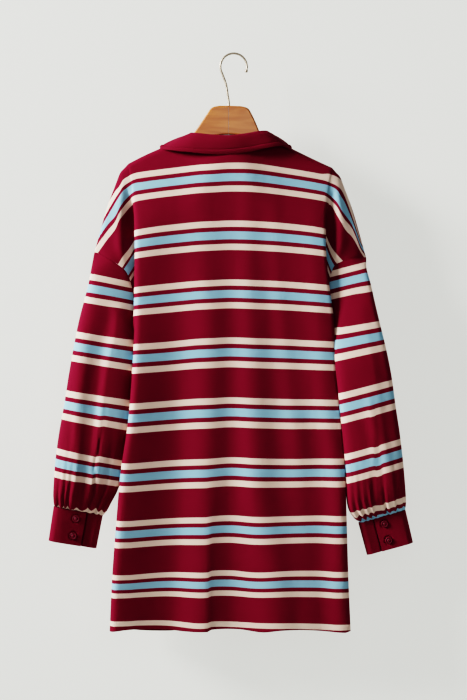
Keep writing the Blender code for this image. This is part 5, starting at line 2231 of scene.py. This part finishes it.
@dataclass
class Collar:
    """Stand round the neck and the leaf that turns down over it."""

    form: DressForm
    wall: float = 2.0
    fine: int = 12
    roll_rows: int = 9
    upper_rows: int = 14
    edge_rows: int = 26
    roll: float = 3.2
    roll_turns: Pair = (-75.0, 60.0)
    stand_rows: int = 8
    stand_in: float = 1.2
    stand_lift: float = 2.2
    stand_drop: float = 2.4
    bulge: float = 3.2
    stitch: float = 8.0
    puff: float = 1.2
    groove: float = 1.1
    groove_reach: float = 0.9
    neck_share: float = 0.97
    edge_from: float = 0.6
    bulge_power: float = 0.8
    bulge_up: float = 0.35
    thread_lift: float = 0.05

    def ring(self, station: Callable[[dict[str, float], Side], Array]) -> Array:
        """Smooth row of points from the collar's left front edge to its right one.

        Args:
            station: finds the point for a row of the collar's table and a side.

        Returns:
            The points, with the left ones first.
        """
        rows = COLLAR.rows()
        points = np.stack([station(row, Side.LEFT) for row in reversed(rows)]
                          + [station(row, Side.RIGHT) for row in rows[1:]])
        wanted = np.linspace(0, len(points) - 1, (len(points) - 1) * self.fine + 1)
        return through(range(len(points)), points, wanted)

    def neck(self, row: dict[str, float], side: Side) -> Array:
        """Where the stand's foot is, just above the neck edge.

        Args:
            row: a row of the collar's table.
            side: left or right.

        Returns:
            The point.
        """
        face = Face.FRONT if row["on_front"] else Face.BACK
        out = np.array(row["neck_out"])
        x, y, z = self.form.body(face, side.value * out, out, np.array(0.0), Creases(BACK_CREASES))
        foot = [x - side.value * self.stand_in, self.neck_share * y, z + self.stand_lift]
        return self.form.leaned(np.array(foot))

    def station(self, row: dict[str, float], side: Side, part: str) -> Array:
        """Place of the fold or of the leaf's lower edge.

        Args:
            row: a row of the collar's table.
            side: left or right.
            part: "fold" or "leaf".

        Returns:
            The point.
        """
        name = f"{side.name.lower()}_{part}_"
        spot = [side.value * row[name + "out"], row[part + "_y"], row[name + "z"]]
        return self.form.leaned(np.array(spot))

    def fold(self, row: dict[str, float], side: Side) -> Array:
        """Where the stand turns into the leaf."""
        return self.station(row, side, "fold")

    def edge(self, row: dict[str, float], side: Side) -> Array:
        """Place on the leaf's lower edge."""
        return self.station(row, side, "leaf")

    def stand(self) -> Cloth:
        """The band round the neck, with its top inside the leaf's roll.

        Returns:
            The band as a sheet.
        """
        fold, foot = self.ring(self.fold), self.ring(self.neck)
        top = fold + unit(foot - fold) * self.stand_drop
        shares = stops((0.0, 1.0, self.stand_rows))[:, None, None]
        return self.laid(top + (foot - top) * shares)

    def leaf(self) -> Cloth:
        """The leaf: it rolls over the stand's top and falls to its stitched free edge.

        Returns:
            The leaf as a sheet, from its roll to its free edge.
        """
        fold, edge = self.ring(self.fold), self.ring(self.edge)
        flat_out = unit(edge[:, :2] - (self.form.centre, 0.0))
        outward = np.concatenate([flat_out, np.zeros((len(edge), 1))], axis=1)
        start, end = (math.radians(turn) for turn in self.roll_turns)
        turns = stops((start, end, self.roll_rows))[:-1, None, None]
        rolled = fold + self.roll * (outward * np.sin(turns) + UP * (np.cos(turns) - 1.0))
        begin = fold + self.roll * (outward * math.sin(end) + UP * (math.cos(end) - 1.0))
        shares = stops((0.0, self.edge_from, self.upper_rows),
                       (self.edge_from, 1.0, self.edge_rows))[:, None, None]
        away = (1.0 - shares) * np.linalg.norm(edge - begin, axis=-1)[:, None]
        lift = self.bulge * np.sin(math.pi * shares ** self.bulge_power)
        band = np.clip(away / self.stitch, 0.0, 1.0)
        lift = lift + self.puff * np.sin(math.pi * band)
        lift = lift - self.groove * np.exp(-((away - self.stitch) / self.groove_reach) ** 2)
        fallen = begin + (edge - begin) * shares + (outward + self.bulge_up * UP) * lift
        return self.laid(np.concatenate([rolled, fallen]))

    @staticmethod
    def laid(points: Array) -> Cloth:
        """The points as a sheet whose ribs run down the collar."""
        flat = np.stack([lay_flat(points), walked(points) * MM], axis=-1)
        return Cloth(points, flat, outward=-1.0)

    def build(self, finishes: Finishes, stitcher: StitchMaker) -> None:
        """Builds the stand and the stitched leaf.

        Args:
            finishes: the materials.
            stitcher: the maker of the leaf's stitches.
        """
        stand = self.stand().build("knit_collar_stand", self.wall, finishes.collar)
        keep(stand, Slot.COLLAR, "collar_stand")
        cloth = self.leaf()
        leaf = cloth.build("knit_collar_leaf", self.wall, finishes.collar)
        keep(leaf, Slot.COLLAR, "collar_leaf")
        path = cloth.above_foot(self.stitch, 0.5 * self.wall + self.thread_lift)
        sewn = stitcher.sew("collar_stitches", [path], finishes.thread, pitch=3.0, radius=0.26, seed=11)
        keep(sewn, Slot.COLLAR)


# --- placket -------------------------------------------------------------------------
@dataclass
class Placket:
    """Two strips down the front's opening and their three buttons."""

    form: DressForm
    wall: float = 1.4
    band: float = 2.0
    band_gap: float = 1.9
    top: float = 250.0
    foot: float = 404.0
    half: float = 17.5
    under_foot: float = 392.0
    under_half: float = 14.4
    under_lift: float = 0.3
    button_gap: float = 0.9
    buttons: tuple[float, ...] = (268.0, 315.0, 362.0)
    rows: int = 40
    columns: int = 12

    @property
    def lift(self) -> float:
        """y of the upper strip's middle from the panel's middle."""
        return -(0.5 * self.wall + self.band_gap + self.band)

    def surface(self, x: Array, depth: Array) -> Array:
        """Points on the middle of the front.

        Args:
            x: places across, from the dress's middle.
            depth: their depths.

        Returns:
            The points.
        """
        top_z = NECKLINE.at("front_z", np.abs(x))
        down = (depth + top_z) / (self.form.hem + top_z)
        body = self.form.body(Face.FRONT, x, np.abs(x), down, Creases(FRONT_CREASES))
        return self.form.leaned(body)

    def strip(self, half: float, foot: float, lift: float) -> Cloth:
        """One strip along the front's middle.

        Args:
            half: half of its width.
            foot: depth of its lower end.
            lift: how far it lies in front of the panel's middle, as y.

        Returns:
            The strip as a sheet.
        """
        x = stops((-half, half, self.columns))[None, :]
        depth = stops((self.top, foot, self.rows))[:, None]
        points = self.surface(*np.broadcast_arrays(x, depth)) + (0.0, lift, 0.0)
        flat = np.stack(np.broadcast_arrays(x * MM, depth * MM), axis=-1)
        return Cloth(points, flat, outward=-1.0)

    def build(self, finishes: Finishes) -> None:
        """Builds both strips and the buttons.

        Args:
            finishes: the materials.
        """
        under = self.strip(self.under_half, self.under_foot, self.under_lift)
        piece = under.build("knit_placket_under", self.wall, finishes.band)
        keep(piece, Slot.BAND, "placket_under")
        upper = self.strip(self.half, self.foot, self.lift)
        piece = upper.build("knit_placket_upper", self.band, finishes.band)
        keep(piece, Slot.BAND, "placket_upper")
        for number, depth in enumerate(self.buttons, 1):
            place = self.surface(np.array(0.0), np.array(depth))
            place = place + (0.0, self.lift - 0.5 * self.band - self.button_gap, 0.0)
            Button(f"front_button_{number}", place, Face.FRONT).build(finishes)


# --- hanger --------------------------------------------------------------------------
# Upper and lower outline of an arm, outwards from the middle, and how much further out each
# side's arm reaches there.
HANGER = Table(
    "out top_z foot_z left_more right_more",
    (0, -95, -149, 0, 0),
    (12, -95.2, -149.4, 0, 0),
    (20, -95.8, -151.2, 3, 3),
    (29, -100, -153.5, 6, 5),
    (38, -112.5, -158.5, 6, 3.5),
    (48, -127.5, -166, 6, 0.5),
    (59, -143, -175, 5.5, -3.5),
    (70, -154.8, -184, 4, -4),
    (92, -165.5, -196, 0, 0),
    (125, -179.5, -211, 0, 0),
    (160, -196, -226, 0, 0),
    (181, -207.5, -233, 0, 0),
    (189, -214.5, -233, 0, 0),
    (194, -222.5, -229, 0, 0))

# The hook's wire from its foot in the wood to its loop, as (x, z).
HOOK_STEM = ((9.2, -96.4), (9.6, -87.0), (11.5, -75.5), (14.5, -56.0), (20.0, -40.0))


def outlined(name: str, dimensions: str, places: Array, bevel: float) -> bpy.types.Curve:
    """Starts a curve through corners, with a round bevel.

    Args:
        name: the curve's name.
        dimensions: "2D" for a filled outline or "3D" for a wire.
        places: the corners, as x, y and z.
        bevel: radius of the bevel.

    Returns:
        The curve, with one spline.
    """
    curve = bpy.data.curves.new(name, "CURVE")
    curve.dimensions = dimensions
    curve.bevel_depth = bevel * MM
    curve.bevel_resolution = CURVE_STEPS
    spline = curve.splines.new("POLY")
    spline.points.add(len(places) - 1)
    for point, place in zip(spline.points, np.asarray(places) * MM):
        point.co = (*place, 1.0)
    return curve


@dataclass
class Hanger:
    """Two wooden arms and the wire hook."""

    centre: float = 7.0
    lean: float = 0.02
    thick: float = 11.0
    edge: float = 3.6
    joint: float = 10.0
    gap: float = 0.12
    past: float = 9.0
    fine: int = 6
    least_step: float = 0.3
    wire: float = 2.0
    wire_fine: int = 4
    loop_steps: int = 23
    loop: float = 22.5
    loop_x: float = 0.6
    loop_turns: Pair = (-22.0, 193.0)
    ball: Table = Table("reach width", (1, 1.25), (2.2, 1.45), (3.6, 1.45), (4.8, 1.15), (5.6, 0.5))

    def arm(self, side: Side, finishes: Finishes) -> None:
        """One arm as an outline with rounded edges, cut off flat where the arms meet.

        Args:
            side: left or right.
            finishes: the materials.
        """
        label = side.name.lower()
        shares = np.linspace(0.0, 1.0, (HANGER.count - 1) * self.fine + 1)
        out = HANGER.along("out", shares) + HANGER.along(label + "_more", shares)
        tops = np.stack([out, HANGER.along("top_z", shares)], axis=1)
        feet = np.stack([out, HANGER.along("foot_z", shares)], axis=1)[::-1]
        joint = self.joint - self.centre
        past = [(joint * side.value - self.past, z) for z in (HANGER["foot_z"][0], HANGER["top_z"][0])]
        outline = []
        for reach, z in np.concatenate([tops, feet, past]):
            x = side.value * reach
            spot = (x + self.centre, z + self.lean * x, 0.0)
            if not outline or math.dist(outline[-1], spot) > self.least_step:
                outline.append(spot)
        curve = outlined("hanger_arm", "2D", outline, self.edge)
        curve.fill_mode = "BOTH"
        curve.extrude = (0.5 * self.thick - self.edge) * MM
        curve.offset = -self.edge * MM
        curve.splines[0].use_cyclic_u = True
        obj = link(bpy.data.objects.new("hanger_arm_curve", curve))
        obj.rotation_euler = (math.pi / 2, 0.0, 0.0)
        bpy.context.view_layer.update()
        made = dress(plain_mesh(obj, "wood_hanger_arm_" + label, merge=0.00001), finishes.wood)
        work = bmesh.new()
        work.from_mesh(made.data)
        cut = (self.joint + side.value * 0.5 * self.gap) * MM
        everything = [*work.verts, *work.edges, *work.faces]
        bmesh.ops.bisect_plane(work, geom=everything, dist=1e-7, plane_co=(cut, 0.0, 0.0),
                               plane_no=(side.value, 0.0, 0.0), clear_inner=True)
        bmesh.ops.holes_fill(work, edges=[edge for edge in work.edges if edge.is_boundary], sides=0)
        bmesh.ops.recalc_face_normals(work, faces=work.faces)
        work.to_mesh(made.data)
        work.free()
        made.data.shade_smooth()
        made.data.set_sharp_from_angle(angle=SHARP_ANGLE)
        keep(made, Slot.WOOD, "hanger_arm_" + label)

    def hook(self, finishes: Finishes) -> None:
        """Bent wire with a small ball at its free end.

        Args:
            finishes: the materials.
        """
        start, end = (math.radians(turn) for turn in self.loop_turns)
        turn = np.linspace(start, end, self.loop_steps)
        swept = self.loop + self.wire
        stem = [(x, 0.0, z) for x, z in HOOK_STEM]
        loop = [self.loop_x + swept * np.cos(turn), 0.0 * turn, swept * np.sin(turn) - self.loop]
        marks = np.concatenate([stem, np.stack(loop, axis=1)])
        last = len(marks) - 1
        path = through(range(len(marks)), marks, np.linspace(0, last, last * self.wire_fine + 1))
        onward = unit(path[-1] - path[-2])
        shares = np.linspace(0.0, 1.0, self.wire_fine * self.ball.count)
        reach = self.ball.along("reach", shares)
        tip = path[-1] + onward * reach[:, None]
        widths = [1.0] * len(path) + list(self.ball.along("width", shares))
        curve = outlined("hook_wire", "3D", np.concatenate([path, tip]), self.wire)
        curve.use_fill_caps = True
        for point, width in zip(curve.splines[0].points, widths):
            point.radius = width
        obj = link(bpy.data.objects.new("hook_curve", curve))
        made = dress(plain_mesh(obj, "wire_hanger_hook", merge=0.000005), finishes.wire)
        made.data.shade_smooth()
        keep(made, Slot.WIRE, "hanger_hook")

    def build(self, finishes: Finishes) -> None:
        """Builds both arms and the hook.

        Args:
            finishes: the materials.
        """
        for side in Side:
            self.arm(side, finishes)
        self.hook(finishes)


# --- stage, light and camera ---------------------------------------------------------
@dataclass(frozen=True)
class Studio:
    """Pale wall and floor, soft light and the camera, in metres."""

    wall_y: float = -0.066
    wall_half: float = 1.5
    wall_top: float = 1.1
    floor_z: float = -1.62
    floor_half: float = 3.2
    pale: Colour = (0.34, 0.346, 0.326)
    fleck: float = 0.985
    roughness: float = 0.9
    gloss: float = 0.1
    glow_colour: Colour = (0.985, 1.0, 0.935)
    wall_glow: float = 0.585
    floor_glow: float = 0.25
    sky: Colour = (0.93, 0.95, 1.0)
    sky_strength: float = 0.08
    camera: tuple[float, float, float] = (0.0009, 3.0, -0.5467)
    lens: float = 83.4

    def paint(self, name: str, one_sided: bool) -> Material:
        """Matt paint; a one-sided wall can't be seen or cast a shadow from behind.

        Args:
            name: the material's name.
            one_sided: whether it is clear from behind.

        Returns:
            The material.
        """
        made, tree, shader = start_material(name)
        grain = tree.noise(tree.place(), 3.0, 4.0)
        tree.fill(shader, {
            "Base Color": tree.mix(grain, opaque(self.pale, self.fleck), opaque(self.pale)),
            "Roughness": self.roughness,
            "Specular IOR Level": self.gloss,
            "Emission Color": opaque(self.glow_colour),
            "Emission Strength": self.wall_glow if one_sided else self.floor_glow})
        if one_sided:
            behind = tree.node("ShaderNodeNewGeometry").outputs["Backfacing"]
            shade = tree.node("ShaderNodeLightPath").outputs["Is Shadow Ray"]
            clear = tree.node("ShaderNodeBsdfTransparent").outputs[0]
            mixed = tree.node("ShaderNodeMixShader", {0: tree.math("MAXIMUM", behind, shade),
                                                      1: shader.outputs[0], 2: clear}).outputs[0]
            tree.feed(made.node_tree.nodes["Material Output"].inputs["Surface"], mixed)
        return made

    def plane(self, name: str, corners: Sequence[tuple[float, float, float]],
              material: Material) -> None:
        """One flat sheet of the stage.

        Args:
            name: its name.
            corners: its corners in order.
            material: its paint.
        """
        data = bpy.data.meshes.new(name)
        data.from_pydata(corners, [], [tuple(range(len(corners)))])
        dress(link(bpy.data.objects.new(name, data)), material)

    def lamp(self, name: str, place: Sequence[float], aim: Sequence[float], size: float,
             power: float, colour: Colour = (1.0, 1.0, 1.0), spread: float = 180.0) -> None:
        """Soft square lamp that looks at a point.

        Args:
            name: its name.
            place: where it stands.
            aim: the point it looks at.
            size: length of its sides.
            power: its power in watts.
            colour: the light's colour.
            spread: how wide its beam is, in degrees.
        """
        data = bpy.data.lights.new(name, "AREA")
        data.shape = "SQUARE"
        data.size = size
        data.energy = power
        data.color = colour
        data.spread = math.radians(spread)
        obj = link(bpy.data.objects.new(name, data))
        obj.location = place
        obj.rotation_euler = (Vector(aim) - Vector(place)).to_track_quat("-Z", "Y").to_euler()
        obj.visible_camera = False

    def build(self) -> None:
        """Sets up the stage, the lamps, the world and the camera."""
        w, y, f = self.wall_half, self.wall_y, self.floor_half
        self.plane("wall", [(-w, y, self.floor_z), (-w, y, self.wall_top), (w, y, self.wall_top),
                            (w, y, self.floor_z)], self.paint("wall_paint", True))
        self.plane("floor", [(-f, -f, self.floor_z), (f, -f, self.floor_z), (f, f, self.floor_z),
                             (-f, f, self.floor_z)], self.paint("floor_paint", False))
        middle = (0.0, 0.0, -0.55)
        self.lamp("key", place=(4.1, 1.45, 1.40), aim=(0.0, 0.0, -0.15), size=1.35, power=71.0,
                  colour=(1.0, 0.985, 0.965), spread=66.0)
        self.lamp("fill", place=(-0.4, 3.0, 0.1), aim=middle, size=1.8, power=15.0)
        self.lamp("behind", place=(0.6, -2.6, 0.6), aim=middle, size=2.2, power=30.0)
        world = bpy.data.worlds.new("studio")
        bpy.context.scene.world = world
        world.use_nodes = True
        Tree(world.node_tree).fill(world.node_tree.nodes["Background"],
                                   {"Color": opaque(self.sky), "Strength": self.sky_strength})
        bpy.context.scene.view_settings.view_transform = "Filmic"
        bpy.context.scene.view_settings.look = "Very High Contrast"
        data = bpy.data.cameras.new("camera")
        data.lens = self.lens
        obj = link(bpy.data.objects.new("camera", data))
        obj.location = self.camera
        obj.rotation_euler = (math.pi / 2, 0.0, math.pi)
        bpy.context.scene.camera = obj


def main() -> None:
    """Builds every piece in order."""
    logging.basicConfig(level=logging.INFO, format="%(name)s: %(message)s")
    finishes = Finishes()
    stitcher = StitchMaker()
    Studio().build()
    panels = Panels()
    panels.build(finishes, stitcher)
    for side in Side:
        Sleeve(side, panels).build(finishes)
        Cuff(side).build(finishes)
    Collar(panels.form).build(finishes, stitcher)
    Placket(panels.form).build(finishes)
    Hanger().build(finishes)


if __name__ == "__main__":
    main()
